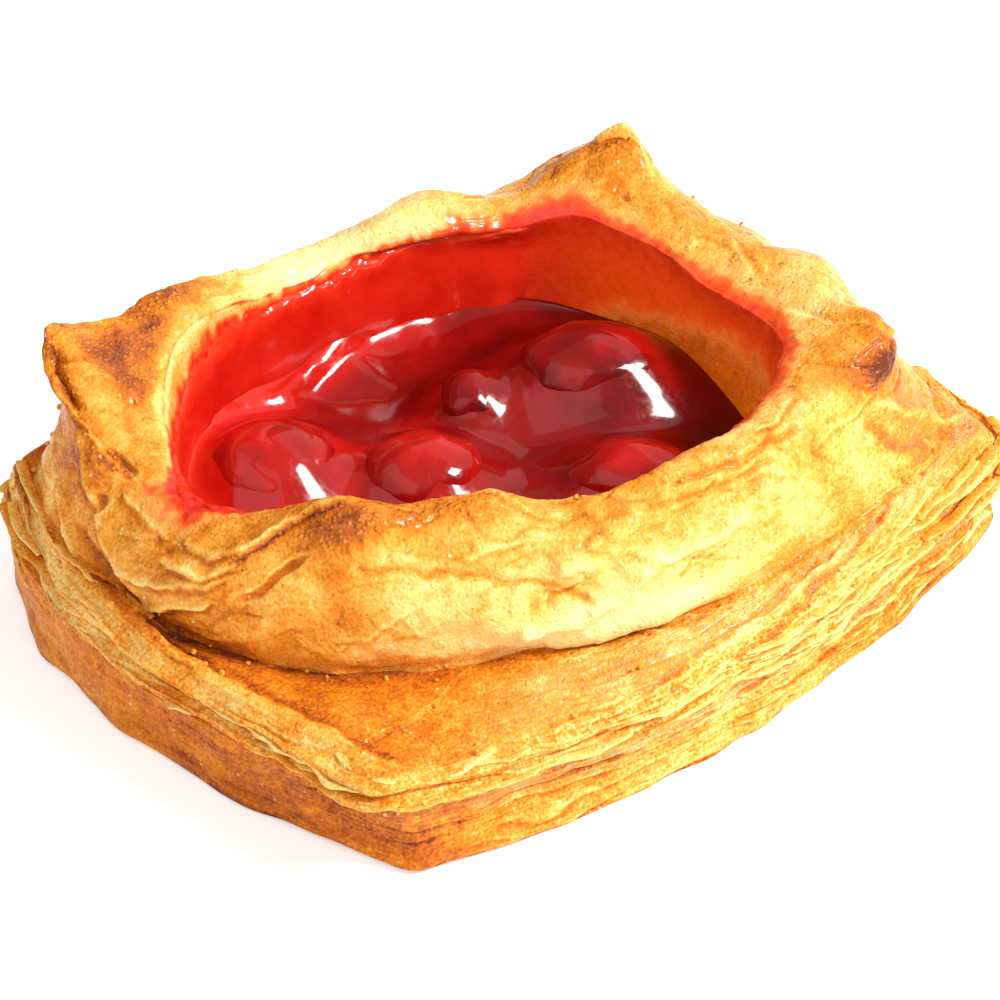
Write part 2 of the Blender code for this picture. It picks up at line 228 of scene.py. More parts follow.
@dataclass(frozen=True)
class DoughForm:
    """The smooth form of the whole dough, the same as its solid's, at any place and row."""

    face_rows: int = 10
    lip_rows: int = 4
    wall_rows: int = 6
    sole_inset: float = 1.4
    sole_round: float = 0.3
    sole_rise: float = 0.7
    sole_clear: float = 0.3
    leaves: int = 4
    leaf_low: float = 0.12
    leaf_high: float = 0.86
    leaf_depth: float = 0.8
    leaf_step: float = 0.1
    flap_edge: Pairs = ((0.0, 0.30), (-1.3, 0.42), (-0.8, 0.66))
    flap_lean: float = 2.2
    flap_crown: float = 0.5
    well_floor: float = 7.5
    wall_hollow: float = 1.4
    slab_softness: float = 0.05
    ring_softness: float = 0.30
    waves: tuple[float, float, float] = (15.0, 5.5, 7.0)
    fine_share: float = 0.4
    rim_stray: tuple[float, float, float] = (0.9, 0.9, 0.8)
    wall_stray: tuple[float, float, float] = (0.3, 0.3, 0.0)
    leaf_stray: float = 0.9
    leaf_shift: float = 3.7
    axis_shift: float = 31.7

    @property
    def flap_start(self) -> int:
        """The first row of the flap, under its overhang."""
        return 3 + 2 * self.leaves - 1

    @property
    def shoulder_row(self) -> int:
        """The row where the flap's edge turns into its top."""
        return self.flap_start + len(self.flap_edge) + 1

    @property
    def crease_row(self) -> int:
        """The row where the flap meets the frame's foot."""
        return self.shoulder_row + 2

    @property
    def crest_row(self) -> int:
        """The row at the top of the frame."""
        return self.crease_row + self.face_rows

    @property
    def lip_row(self) -> int:
        """The row where the frame turns down into the well."""
        return self.crest_row + self.lip_rows

    def by_sides(self, name: str, place: float) -> float:
        """A size on a parabola through the three stations of a side, with a kink at each corner.

        Args:
            name: The size's name.
            place: Where round the dough.

        Returns:
            The size.
        """
        side, along = divmod(place % TURNS, 2)
        a, b, c = (getattr(STATIONS[(int(side) * 2 + k) % 8], name) for k in range(3))
        s = along / 2
        return a * (1 - s) * (1 - 2 * s) + b * 4 * s * (1 - s) + c * s * (2 * s - 1)

    def all_round(self, name: str, place: float) -> float:
        """A size on one smooth curve through all eight stations, with no corners.

        Args:
            name: The size's name.
            place: Where round the dough.

        Returns:
            The size.
        """
        station, s = divmod(place % TURNS, 1)
        a, b, c, d = (getattr(STATIONS[(int(station) + k) % 8], name) for k in (-1, 0, 1, 2))
        return b + 0.5 * s * (c - a + s * (2 * a - 5 * b + 4 * c - d + s * (3 * (b - c) + d - a)))

    def softened(self, name: str, place: float, softness: float) -> float:
        """A size by sides, averaged over a short stretch, which rounds off the corners.

        Args:
            name: The size's name.
            place: Where round the dough.
            softness: Half the stretch, in places.

        Returns:
            The size.
        """
        steps = ((-1.0, 1), (-0.5, 2), (0.0, 3), (0.5, 2), (1.0, 1))
        return sum(w * self.by_sides(name, place + k * softness) for k, w in steps) / 9

    def section_at(self, place: float) -> Section:
        """The cross-section at any place round the dough.

        Args:
            place: Where round the dough.

        Returns:
            The cross-section's sizes there.
        """
        sizes = {}
        for name in (field.name for field in fields(Section)):
            if name in ROUND_SIZES:
                sizes[name] = self.all_round(name, place)
            else:
                softness = self.ring_softness if name in SOFT_SIZES else self.slab_softness
                sizes[name] = self.softened(name, place, softness)
        return Section(**sizes)

    def leaf_profile(self, s: Section) -> list[tuple[float, float]]:
        """The rows from the sole up the layered side to the groove over it.

        Args:
            s: The cross-section.

        Returns:
            The reach and height of each row.
        """
        top, edge = s.slab_top, s.edge_reach
        rows = [(edge - self.sole_inset, 0.0), (edge - self.sole_round, self.sole_rise)]
        for k in range(self.leaves):
            if k:
                rows.append((edge - self.leaf_depth, top * (k + self.leaf_low) / self.leaves))
            rows.append((edge - self.leaf_step * k, top * (k + self.leaf_high) / self.leaves))
        rows.append((edge - s.groove, top + GAP))
        return rows

    def flap_profile(self, s: Section) -> list[tuple[float, float]]:
        """The top flap: under its overhang, round its split edge, and over it into the crease.

        Args:
            s: The cross-section.

        Returns:
            The reach and height of each row.
        """
        low, thick, edge = s.slab_top, s.flap_thick, s.edge_reach
        tip, shoulder = edge + s.overhang, edge - self.flap_lean
        rows = [(tip - self.sole_round, low + 2 * GAP)]
        rows += [(tip + out, low + up * thick) for out, up in self.flap_edge]
        rows.append((shoulder, low + thick))
        crown = 0.5 * (low + thick + s.crease_z) + self.flap_crown
        rows.append((0.5 * (shoulder + s.crease_reach), crown))
        rows.append((s.crease_reach, s.crease_z))
        return rows

    def face_profile(self, s: Section) -> list[tuple[float, float]]:
        """The frame's outer face, from the crease up to the crest.

        Args:
            s: The cross-section.

        Returns:
            The reach and height of each row.
        """
        rows = []
        for k in range(1, self.face_rows + 1):
            turn = 0.5 * math.pi * k / self.face_rows
            reach = s.crease_reach + (s.crest_reach - s.crease_reach) * (1 - math.cos(turn)) ** 0.9
            reach += s.belly * math.sin(2 * turn) * math.cos(turn)
            rows.append((reach, s.crease_z + (s.crest_z - s.crease_z) * math.sin(turn)))
        return rows

    def wall_reach(self, s: Section, height: float) -> float:
        """How far the well's wall stands from the middle at a height under the lip."""
        fall = (s.lip_z - height) / (s.lip_z - self.well_floor)
        return s.lip_reach + (s.foot_reach - s.lip_reach) * fall**self.wall_hollow

    def well_profile(self, s: Section) -> list[tuple[float, float]]:
        """The crest's inner slope to the lip, and the well's wall down to its floor.

        Args:
            s: The cross-section.

        Returns:
            The reach and height of each row.
        """
        rows = []
        for k in range(1, self.lip_rows + 1):
            turn = 0.5 * math.pi * k / self.lip_rows
            reach = s.crest_reach + (s.lip_reach - s.crest_reach) * math.sin(turn)
            rows.append((reach, s.lip_z + (s.crest_z - s.lip_z) * math.cos(turn)))
        for k in range(1, self.wall_rows + 1):
            height = s.lip_z + (self.well_floor - s.lip_z) * k / self.wall_rows
            rows.append((self.wall_reach(s, height), height))
        return rows

    def wander(self, point: Vector) -> Vector:
        """A smooth uneven vector that depends on the point alone."""
        return Vector(noise.noise(point + Vector((0, 0, k * self.axis_shift))) for k in range(3))

    def unevenness(self, point: Vector, row: int) -> Vector:
        """How far the baked surface strays from its smooth form.

        Args:
            point: A point of the smooth form.
            row: Its row.

        Returns:
            The move at that point.
        """
        if row == 0:
            return Vector((0, 0, 0))
        stray = self.rim_stray if row <= self.lip_row else self.wall_stray
        broad, fine, leaf_wave = self.waves
        pairs = zip(stray, self.wander(point / broad), self.wander(point / fine))
        move = Vector(a * (b + self.fine_share * f) for a, b, f in pairs)
        if row < self.shoulder_row:
            leaf = noise.noise(Vector((point.x / leaf_wave, point.y / leaf_wave, self.leaf_shift * row)))
            move += Vector((point.x, point.y, 0)).normalized() * self.leaf_stray * leaf
        return move

    def pulled(self, point: Vector, row: int) -> Vector:
        """The move that the drawn-out patches give a point of the frame.

        Args:
            point: A point of the smooth form.
            row: Its row.

        Returns:
            The move, which is nothing off the frame.
        """
        move = Vector((0, 0, 0))
        if not self.flap_start <= row <= self.lip_row:
            return move
        up = (row - self.crease_row) / self.face_rows
        for pull in PULLS:
            apart = (Vector((point.x, point.y)) - Vector(pull.centre)).length / pull.width
            rise = (up - pull.up) / pull.spread
            rise = min(0.0, rise) if pull.up == 1.0 else rise
            move += Vector(pull.move) * math.exp(-apart * apart - rise * rise)
        return move

    def lattice(self, places: Iterable[float]) -> np.ndarray:
        """The form's points at every whole row, for some places.

        Args:
            places: Where round the dough the columns stand.

        Returns:
            An array of row, column and x, y, z, in mm, about the middle of the box.
        """
        columns = []
        for place in places:
            s = self.section_at(place)
            profile = self.leaf_profile(s) + self.flap_profile(s)
            profile += self.face_profile(s) + self.well_profile(s)
            out = Vector((s.edge_x, s.edge_y, 0)) / s.edge_reach
            column = []
            for row, (reach, height) in enumerate(profile):
                point = out * reach + Vector((0, 0, height))
                moved = point + self.pulled(point, row) + self.unevenness(point, row)
                if row:
                    moved.z = max(moved.z, self.sole_clear)
                column.append(moved)
            columns.append(column)
        return np.array(columns).transpose(1, 0, 2) - BOX_MIDDLE


class Fold(Enum):
    """How a line in the dough stands: raised, sunk, or one sheet lapped over the next."""

    RIDGE = "ridge"
    GROOVE = "groove"
    LAP = "lap"


@dataclass(frozen=True)
class Line:
    """A line in the dough through a few stops of place and row, with its width and rise in mm.

    A lap's upper sheet lies on the left of the way the stops run, seen from outside. Bake is how
    much darker the line is painted, or paler where it is negative: most grooves are darker and most
    ridges paler, which paints shade in the grooves and light on the ridges. A lap's bake gives its
    upper sheet a paler edge and paints shade just under that edge.
    """

    kind: Fold
    stops: Pairs
    width: float
    rise: float
    bake: float = 0.0


@dataclass(frozen=True)
class Spot:
    """A round or oval spot of the dough: its middle as place and row, its half sizes in mm.

    Sink is how deep it is, or how high where it is negative. Turn is its slope in degrees from the
    level. Bake is how much darker it is, and rim how much paler its edge: on a sunk spot the darker
    inside is painted shade in the dent and the paler rim painted light.
    """

    place: float
    row: float
    long: float
    tall: float
    bake: float = 0.0
    sink: float = 0.0
    rim: float = 0.0
    turn: float = 0.0


FOLDS = (
    Line(Fold.GROOVE, ((7.70, 21.9), (7.98, 21.3), (0.35, 19.8), (0.58, 18.7)), 0.55, 0.60, 0.22),
    Line(
        Fold.RIDGE, ((0.34, 17.7), (0.55, 18.0), (0.70, 18.7), (0.84, 19.7), (1.00, 20.0), (1.14, 19.9)),
        1.3, 1.8, -0.14,
    ),
    Line(Fold.GROOVE, ((0.44, 19.2), (0.64, 19.8), (0.80, 21.0), (1.00, 21.4), (1.20, 21.2)), 1.5, 1.2, 0.12),
    Line(Fold.GROOVE, ((0.36, 19.4), (0.40, 17.9)), 0.8, 0.8, 0.16),
    Line(Fold.LAP, ((0.58, 18.6), (0.46, 19.6), (0.34, 19.9)), 0.9, 0.8, -0.20),
    Line(Fold.RIDGE, ((0.50, 21.2), (0.66, 22.6), (0.90, 23.4)), 1.4, 0.8, -0.06),
    Line(Fold.GROOVE, ((0.86, 23.0), (1.10, 22.2), (1.30, 22.6)), 0.6, 0.5, 0.20),
    Line(Fold.GROOVE, ((0.98, 24.2), (1.20, 23.6), (1.46, 23.8)), 0.6, 0.5, 0.20),
    Line(Fold.RIDGE, ((7.98, 18.8), (0.20, 18.6), (0.36, 17.6)), 2.2, 0.7, 0.0),
    Line(Fold.GROOVE, ((6.10, 26.1), (6.18, 25.8), (6.27, 25.8)), 1.5, 1.9, 0.36),
    Line(Fold.RIDGE, ((6.08, 24.8), (6.16, 24.2), (6.24, 24.4)), 0.9, 0.9, -0.14),
    Line(Fold.GROOVE, ((6.58, 18.2), (6.68, 17.4), (6.78, 17.0), (6.88, 16.8)), 1.0, 1.0, 0.26),
    Line(Fold.LAP, ((6.40, 18.4), (6.52, 17.0), (6.62, 16.0), (6.80, 15.2)), 1.4, 0.9, -0.20),
    Line(Fold.LAP, ((6.38, 22.6), (6.55, 21.0), (6.70, 19.2), (6.84, 18.0)), 1.0, 0.7, -0.18),
    Line(Fold.LAP, ((6.82, 17.1), (6.89, 16.6), (6.99, 17.0), (7.11, 18.1), (7.21, 19.2)), 1.1, 0.9, -0.22),
    Line(Fold.LAP, ((6.86, 18.5), (6.97, 19.3), (7.06, 19.5), (7.13, 20.2), (7.24, 20.8)), 1.0, 0.8, -0.20),
    Line(Fold.LAP, ((6.98, 21.1), (7.06, 20.8), (7.15, 20.9), (7.26, 21.7)), 0.9, 0.7, -0.18),
    Line(Fold.LAP, ((7.06, 22.6), (7.16, 22.2), (7.28, 22.9), (7.36, 24.2)), 0.8, 0.6, -0.18),
    Line(Fold.LAP, ((7.27, 22.6), (7.34, 23.8), (7.42, 25.4), (7.52, 26.6)), 1.2, 0.9, -0.24),
    Line(Fold.RIDGE, ((2.02, 22.8), (1.90, 22.0), (1.80, 21.6)), 1.2, 1.0, 0.16),
    Line(Fold.GROOVE, ((2.34, 27.1), (2.16, 26.8), (2.04, 25.0), (2.00, 22.6)), 0.6, 0.6, -0.20),
    Line(Fold.RIDGE, ((1.78, 20.6), (1.84, 19.3), (1.93, 17.4), (2.03, 15.1)), 0.8, 0.9, -0.22),
    Line(Fold.GROOVE, ((1.72, 20.0), (1.76, 18.4), (1.86, 16.6)), 0.8, 0.8, 0.24),
    Line(Fold.LAP, ((1.36, 14.8), (1.04, 14.1), (0.70, 13.6)), 1.4, 0.7, -0.14),
    Line(Fold.GROOVE, ((1.60, 15.0), (1.30, 13.8), (0.95, 13.2)), 0.7, 0.6, 0.25),
    Line(Fold.LAP, ((7.98, 14.2), (7.60, 14.4), (7.20, 14.6), (6.80, 15.2)), 1.4, 0.6, -0.16),
)

SPOTS = (
    Spot(7.62, 24.6, 8.0, 5.0, 0.20),
    Spot(7.64, 24.8, 3.6, 2.0, 0.08),
    Spot(7.36, 24.6, 7.0, 4.0, 0.08),
    Spot(7.43, 21.4, 4.6, 1.0, 0.28, 1.0, 0.22, 47.0),
    Spot(6.54, 25.0, 2.4, 2.0, 0.30, 0.9, 0.16),
    Spot(4.60, 26.4, 9.0, 6.0, -0.14, -1.5),
    Spot(6.59, 21.4, 1.3, 1.7, 0.20, 0.7, 0.20),
    Spot(5.93, 27.2, 8.0, 5.6, 0.42),
    Spot(6.02, 27.6, 4.0, 2.4, 0.12),
    # A pale band along the left rim: painted highlight.
    Spot(5.98, 29.5, 16.0, 2.8, -0.50),
    Spot(6.20, 25.6, 5.0, 4.0, 0.14),
    Spot(5.60, 26.8, 10.0, 3.6, 0.36),
    Spot(5.79, 27.2, 1.4, 1.0, 0.24),
    Spot(4.05, 25.4, 9.0, 5.0, 0.16),
    Spot(3.82, 26.6, 8.0, 4.5, 0.28),
    Spot(6.42, 24.0, 7.0, 8.0, 0.28),
    Spot(3.68, 27.1, 0.6, 0.6, 0.35, 0.5, 0.10),
    Spot(1.88, 23.0, 7.0, 5.0, 0.22),
    Spot(1.90, 22.4, 3.0, 2.0, 0.16),
    Spot(2.05, 26.0, 6.0, 3.0, 0.12),
    Spot(2.60, 27.0, 9.0, 5.0, -0.20),
    Spot(1.95, 17.0, 8.0, 7.0, 0.16),
    Spot(2.02, 14.8, 4.0, 1.6, 0.30),
    Spot(7.10, 17.0, 14.0, 2.4, 0.16),
    Spot(7.90, 14.8, 9.0, 3.6, 0.10),
    Spot(7.15, 15.3, 12.0, 3.0, 0.15),
    Spot(1.75, 13.4, 8.0, 4.0, 0.10),
    # The facet under the front ridge is made paler: painted light on a facet that faces down.
    Spot(0.70, 17.0, 14.0, 3.6, -0.44),
    Spot(0.62, 20.6, 6.0, 3.0, -0.20),
    # More of the same facet's painted light.
    Spot(0.75, 17.0, 11.0, 2.2, -0.22),
    Spot(0.05, 25.4, 8.0, 2.4, 0.14),
    Spot(0.30, 23.0, 10.0, 4.0, -0.06),
    Spot(0.10, 18.8, 14.0, 5.0, -0.06),
    Spot(7.62, 20.0, 10.0, 6.0, 0.08),
    # The pale back-left crest: painted highlight.
    Spot(5.1, 27.4, 14.0, 4.0, -0.50),
    Spot(6.12, 18.6, 7.0, 3.0, -0.14),
    Spot(1.02, 12.2, 2.8, 0.8, 0.30, 0.9, 0.15, -10.0),
)


@dataclass(frozen=True)
class Rind:
    """A band of the dough's surface: its rows, its places and its points in mm."""

    rows: np.ndarray
    places: np.ndarray
    points: np.ndarray

    def slopes(self) -> tuple[np.ndarray, np.ndarray]:
        """How the surface runs at each point.

        Returns:
            The vectors in mm for one place round the band and for one row up it.
        """
        steps = place_gap(np.roll(self.places, -1), 0) - place_gap(np.roll(self.places, 1), 0)
        steps = np.where(steps < 0, steps + TURNS, steps)[None, :, None]
        around = (np.roll(self.points, -1, axis=1) - np.roll(self.points, 1, axis=1)) / steps
        up = np.gradient(self.points, self.rows, axis=0)
        return around, up

    def normals(self) -> np.ndarray:
        """The direction out of the dough.

        Returns:
            A vector of length 1 at each point.
        """
        around, up = self.slopes()
        normal = np.cross(around, up)
        return normal / np.maximum(np.linalg.norm(normal, axis=-1, keepdims=True), 1e-9)

    def offset(self, amount: np.ndarray) -> "Rind":
        """The band with each point moved outwards by an amount in mm."""
        return Rind(self.rows, self.places, self.points + self.normals() * amount[..., None])

    @cached_property
    def lengths(self) -> tuple[np.ndarray, np.ndarray]:
        """How many mm one place and one row are, at each point."""
        around, up = self.slopes()
        return np.linalg.norm(around, axis=-1), np.linalg.norm(up, axis=-1)

    @cached_property
    def sway(self) -> tuple[np.ndarray, np.ndarray]:
        """How far a line or spot is drawn aside, so that its edge wavers.

        Returns:
            The sway in mm at each point, along and across.
        """
        grain = Grain(3)
        bands = ((0.0, 0.9, 5.0), (50.0, 0.35, 1.8))
        along = sum(size * grain.at(self.points + shift, wave) for shift, size, wave in bands)
        across = sum(size * grain.at(self.points + shift + 20.0, wave) for shift, size, wave in bands)
        return along, across

    def from_line(self, stops: Pairs) -> tuple[np.ndarray, np.ndarray]:
        """How far each point lies from a line through stops of place and row.

        Args:
            stops: The line's stops.

        Returns:
            The distance in mm, and the same with a sign: positive on the left of the line's way.
        """
        (long, tall), (along, across) = self.lengths, self.sway
        best = np.full(long.shape, 1e9)
        signed = np.full(long.shape, -1e9)
        for (place_a, row_a), (place_b, row_b) in itertools.pairwise(stops):
            step = float(place_gap(np.array(place_b), place_a))
            gaps = place_gap(self.places, place_a)
            near = np.flatnonzero((gaps > min(step, 0) - LINE_REACH) & (gaps < max(step, 0) + LINE_REACH))
            dx, dy = step * long[:, near], (row_b - row_a) * tall[:, near]
            x = gaps[near][None, :] * long[:, near] + along[:, near]
            y = (self.rows[:, None] - row_a) * tall[:, near] + across[:, near]
            t = np.clip((x * dx + y * dy) / np.maximum(dx * dx + dy * dy, 1e-9), 0, 1)
            apart = np.hypot(x - t * dx, y - t * dy)
            nearer = apart < best[:, near]
            side = np.sign(dx * y - dy * x)
            signed[:, near] = np.where(nearer, apart * side, signed[:, near])
            best[:, near] = np.where(nearer, apart, best[:, near])
        return best, signed

    def from_spot(self, spot: Spot) -> np.ndarray:
        """How far each point lies from a spot's middle.

        Args:
            spot: The spot.

        Returns:
            The distance: 1 at the spot's edge.
        """
        (long, tall), (along, across) = self.lengths, self.sway
        x = place_gap(self.places, spot.place)[None, :] * long + along
        y = (self.rows[:, None] - spot.row) * tall + across
        turn = math.radians(spot.turn)
        far, high = x * math.cos(turn) + y * math.sin(turn), y * math.cos(turn) - x * math.sin(turn)
        return np.hypot(far / spot.long, high / spot.tall)


@dataclass(frozen=True)
class Sheets:
    """Thin sheets of dough seen edge on: how thick they are, how they wander and how wide they gape."""

    pitch: float
    warp: float = 1.1
    gap: float = 0.15
    step: float = 0.5
    seed: int = 31

    def at(self, points: np.ndarray) -> tuple[np.ndarray, np.ndarray, np.ndarray]:
        """The relief of the sheets.

        Args:
            points: Points in mm.

        Returns:
            How far each sheet stands out, and how strong its gaps and its edges are, from 0 to 1.
        """
        grain = Grain(self.seed)
        warp = self.warp * grain.at(points, (18.0, 18.0, 9.0)) + 0.3 * grain.at(points, (5.0, 5.0, 4.0))
        level = points[..., 2] / self.pitch + warp
        whole = np.floor(level)
        part = level - whole
        sheet = np.stack([points[..., 0], points[..., 1], 53.0 * whole], axis=-1)
        stand = self.step * (grain.at(sheet, 13.0) + 0.35 * grain.at(sheet, 4.0))
        width = self.gap * (1 + 1.3 * grain.at(points + 30.0, (8.0, 8.0, 2.5)))
        shown = eased(grain.at(points + 60.0, (12.0, 12.0, 2.0)), -0.35, 0.25)
        gap = shown * np.exp(-((np.minimum(part, 1 - part) / np.maximum(width, 0.05)) ** 2))
        edge = shown * np.exp(-(((part - width - 0.14) / 0.12) ** 2))
        return stand, gap, edge


def between_rows(lattice: np.ndarray, rows: np.ndarray, form: DoughForm) -> np.ndarray:
    """Points on smooth curves through the whole rows of a lattice.

    Args:
        lattice: The points at whole rows.
        rows: The rows that are wanted, which needn't be whole.
        form: The form, which says where the leaves end: curves through leaves are tighter.

    Returns:
        An array of the wanted rows, the lattice's columns and x, y, z.
    """
    last = len(lattice) - 1
    base = np.clip(np.floor(rows).astype(int), 0, last - 1)
    s = (rows - base)[:, None, None]
    b, c = lattice[base], lattice[base + 1]
    a, d = lattice[np.maximum(base - 1, 0)], lattice[np.minimum(base + 2, last)]
    pull = np.where(rows < form.shoulder_row, 0.35, 1.0)[:, None, None] / 2
    lean_b, lean_c = (c - a) * pull, (d - b) * pull
    return (
        b * (2 * s**3 - 3 * s**2 + 1)
        + c * (3 * s**2 - 2 * s**3)
        + lean_b * (s**3 - 2 * s**2 + s)
        + lean_c * (s**3 - s**2)
    )


def drum_mesh(
    name: str, points: np.ndarray, notes: dict[str, np.ndarray], closed: bool = True
) -> bpy.types.Mesh:
    """A mesh rolled up from a sheet, whose points lie as an array of rows and columns says.

    Args:
        name: The mesh's name.
        points: Row, column and x, y, z, in mm. The last column runs on into the first.
        notes: Values that the materials read, by name, one for each row and column or for each row.
        closed: Whether the first and last row are filled with a face. If not, they are joined.

    Returns:
        The mesh, in metres. Its map "flow" runs round the drum and up it, in metres too.
    """
    rows, columns = points.shape[:2]
    bm = bmesh.new()
    bmesh.ops.create_grid(bm, x_segments=rows - 1, y_segments=columns, size=0.5)
    mesh = bpy.data.meshes.new(name)
    bm.to_mesh(mesh)
    flat = np.empty(len(mesh.vertices) * 3, np.float32)
    mesh.vertices.foreach_get("co", flat)
    x, y, _ = flat.reshape(-1, 3).T
    row = np.rint((x + 0.5) * (rows - 1)).astype(int)
    step = np.rint((y + 0.5) * columns).astype(int)
    column = step % columns
    mesh.vertices.foreach_set("co", (points[row, column] * MM).astype(np.float32).ravel())
    for key, values in notes.items():
        attribute = mesh.attributes.new(key, "FLOAT", "POINT")
        values = np.broadcast_to(values, (rows, columns))
        attribute.data.foreach_set("value", values[row, column].astype(np.float32))
    middle = points[rows // 2]
    around = np.append(0, np.cumsum(np.linalg.norm(np.roll(middle, -1, axis=0) - middle, axis=-1)))
    up = np.append(0, np.cumsum(np.linalg.norm(np.diff(points, axis=0), axis=-1).mean(axis=1)))
    flow = np.stack([around[step], up[row]], axis=-1) * MM
    corners = np.empty(len(mesh.loops), np.int32)
    mesh.loops.foreach_get("vertex_index", corners)
    mesh.uv_layers.new(name="flow").data.foreach_set("uv", flow[corners].astype(np.float32).ravel())
    bm.clear()
    bm.from_mesh(mesh)
    bmesh.ops.remove_doubles(bm, verts=bm.verts, dist=1e-7)
    if closed:
        bmesh.ops.holes_fill(bm, edges=[e for e in bm.edges if e.is_boundary], sides=columns)
    bmesh.ops.recalc_face_normals(bm, faces=bm.faces)
    bm.to_mesh(mesh)
    bm.free()
    mesh.shade_smooth()
    return mesh


def piece(mesh: bpy.types.Mesh, look: bpy.types.Material, slot: str, *nodes: str) -> bpy.types.Object:
    """Puts a finished mesh in the scene as a piece of the part.

    Args:
        mesh: The mesh, whose name the piece takes.
        look: Its material.
        slot: The record's material slot. Not used.
        nodes: The nodes that it stands for.

    Returns:
        The piece, which rides on the part's one body.
    """
    made = bpy.data.objects.new(mesh.name, mesh)
    bpy.context.scene.collection.objects.link(made)
    mesh.materials.append(look)
    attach(made, "root")
    if nodes:
        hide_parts(*nodes)
    log.info("%s: %d faces", made.name, len(mesh.polygons))
    return made


class Wire:
    """A number in a material's nodes. Sums on it add Math nodes."""

    def __init__(self, graph: "Graph", socket: bpy.types.NodeSocket) -> None:
        """Wraps an output socket."""
        self.graph, self.socket = graph, socket

    def _math(self, operation: str, *terms: "Wire | float") -> "Wire":
        """Adds a Math node on some terms."""
        return self.graph.add("ShaderNodeMath", {"operation": operation}, dict(enumerate(terms)))

    def __add__(self, other: "Wire | float") -> "Wire":
        """Adds."""
        return self._math("ADD", self, other)

    def __sub__(self, other: "Wire | float") -> "Wire":
        """Takes away."""
        return self._math("SUBTRACT", self, other)

    def __rsub__(self, other: float) -> "Wire":
        """Is taken away from a number."""
        return self._math("SUBTRACT", other, self)

    def __mul__(self, other: "Wire | float") -> "Wire":
        """Multiplies."""
        return self._math("MULTIPLY", self, other)

    __radd__, __rmul__ = __add__, __mul__

    def step(self, low: float, high: float) -> "Wire":
        """A smooth step from 0 at low to 1 at high."""
        settings = {"interpolation_type": "SMOOTHSTEP"}
        return self.graph.add("ShaderNodeMapRange", settings, {0: self, 1: low, 2: high})

    def crest(self, width: float) -> "Wire":
        """1 where the number is a half, falling to 0 a width away from it."""
        return 1 - self._math("ABSOLUTE", self - 0.5).step(0.0, width)

    def clipped(self) -> "Wire":
        """The number kept between 0 and 1."""
        return self.graph.add("ShaderNodeClamp", {}, {0: self})


class Graph:
    """The nodes of one material."""

    def __init__(self, name: str) -> None:
        """Makes the material with its shader.

        Args:
            name: The material's name.
        """
        self.material = bpy.data.materials.new(name)
        self.material.use_nodes = True
        self.nodes = self.material.node_tree.nodes
        self.shader = self.nodes["Principled BSDF"]
        self.place = self.add("ShaderNodeTexCoord", {}, {}, "Object")

    def add(self, kind: str, settings: dict, values: dict, output: int | str = 0) -> Wire:
        """Adds a node.

        Args:
            kind: The node's type.
            settings: Its own properties, or for a ramp its stops.
            values: Numbers, colours or wires for its sockets, by name or number.
            output: Which of its outputs is wanted.

        Returns:
            That output.
        """
        node = self.nodes.new(kind)
        for key, value in settings.items():
            if key == "stops":
                self._set_stops(node.color_ramp.elements, value)
            else:
                setattr(node, key, value)
        for key, value in values.items():
            self.join(value, node.inputs[key])
        return Wire(self, node.outputs[output])

    def _set_stops(self, elements: bpy.types.ColorRampElements, stops: Ramp) -> None:
        """Gives a ramp its stops.

        Args:
            elements: The ramp's own stops, two at first.
            stops: The place and colour of each stop.
        """
        while len(elements) < len(stops):
            elements.new(1.0)
        for element, (at, colour) in zip(elements, stops):
            element.position = at
            element.color = (*colour, 1)

    def join(self, value: "Wire | float | Colour", socket: bpy.types.NodeSocket) -> None:
        """Links a wire to a socket, or sets the socket's own value.

        Args:
            value: The wire, number or colour.
            socket: The socket.
        """
        if isinstance(value, Wire):
            self.material.node_tree.links.new(value.socket, socket)
        elif isinstance(value, tuple) and len(value) == 3 and socket.type == "RGBA":
            socket.default_value = (*value, 1)
        else:
            socket.default_value = value

    def note(self, name: str) -> Wire:
        """The piece's own value of that name."""
        return self.add("ShaderNodeAttribute", {"attribute_name": name}, {}, "Fac")

    def noise(self, wave: float, detail: float = 2.0) -> Wire:
        """Noise of about 0 to 1 with waves of a length in mm."""
        values = {"Vector": self.place, "Scale": 1 / (wave * MM), "Detail": detail}
        return self.add("ShaderNodeTexNoise", {}, values, "Fac")

    def streaks(self, wave: float, long: float, shift: float = 0.0) -> Wire:
        """Noise drawn out along the leaves of the dough.

        Args:
            wave: The length of a wave across the leaves, in mm.
            long: How many times longer it is along them.
            shift: Where the noise is read, so that two of them differ.

        Returns:
            The noise, of about 0 to 1.
        """
        flow = self.add("ShaderNodeUVMap", {"uv_map": "flow"}, {}, "UV")
        moved = {"Vector": flow, "Location": (shift, 0, 0), "Scale": (1 / long, 1, 1)}
        spot = self.add("ShaderNodeMapping", {}, moved)
        values = {"Vector": spot, "Scale": 1 / (wave * MM), "Detail": 2.0}
        return self.add("ShaderNodeTexNoise", {}, values, "Fac")

    def cells(self, wave: float, output: str = "Distance", settings: dict | None = None) -> Wire:
        """The distance to the nearest of many scattered points a wave apart, or another output."""
        values = {"Vector": self.place, "Scale": 1 / (wave * MM)}
        return self.add("ShaderNodeTexVoronoi", settings or {}, values, output)

    def ramp(self, value: Wire, stops: Ramp) -> Wire:
        """The colour of a number."""
        return self.add("ShaderNodeValToRGB", {"stops": stops}, {0: value})

    def mix(self, share: Wire | float, first: Wire | Colour, second: Wire | Colour) -> Wire:
        """Two colours mixed, with a share of the second."""
        return self.add("ShaderNodeMix", {"data_type": "RGBA"}, {0: share, 6: first, 7: second}, 2)

    def bump(self, height: Wire, distance: float, strength: float = 1.0) -> None:
        """Lets a height of 0 to 1, times a distance in mm, roughen the surface."""
        values = {"Height": height, "Distance": distance * MM, "Strength": strength}
        self.set("Normal", self.add("ShaderNodeBump", {}, values, "Normal"))

    def set(self, name: str, value: "Wire | float | Colour") -> None:
        """Gives the shader's socket of that name its value."""
        self.join(value, self.shader.inputs[name])


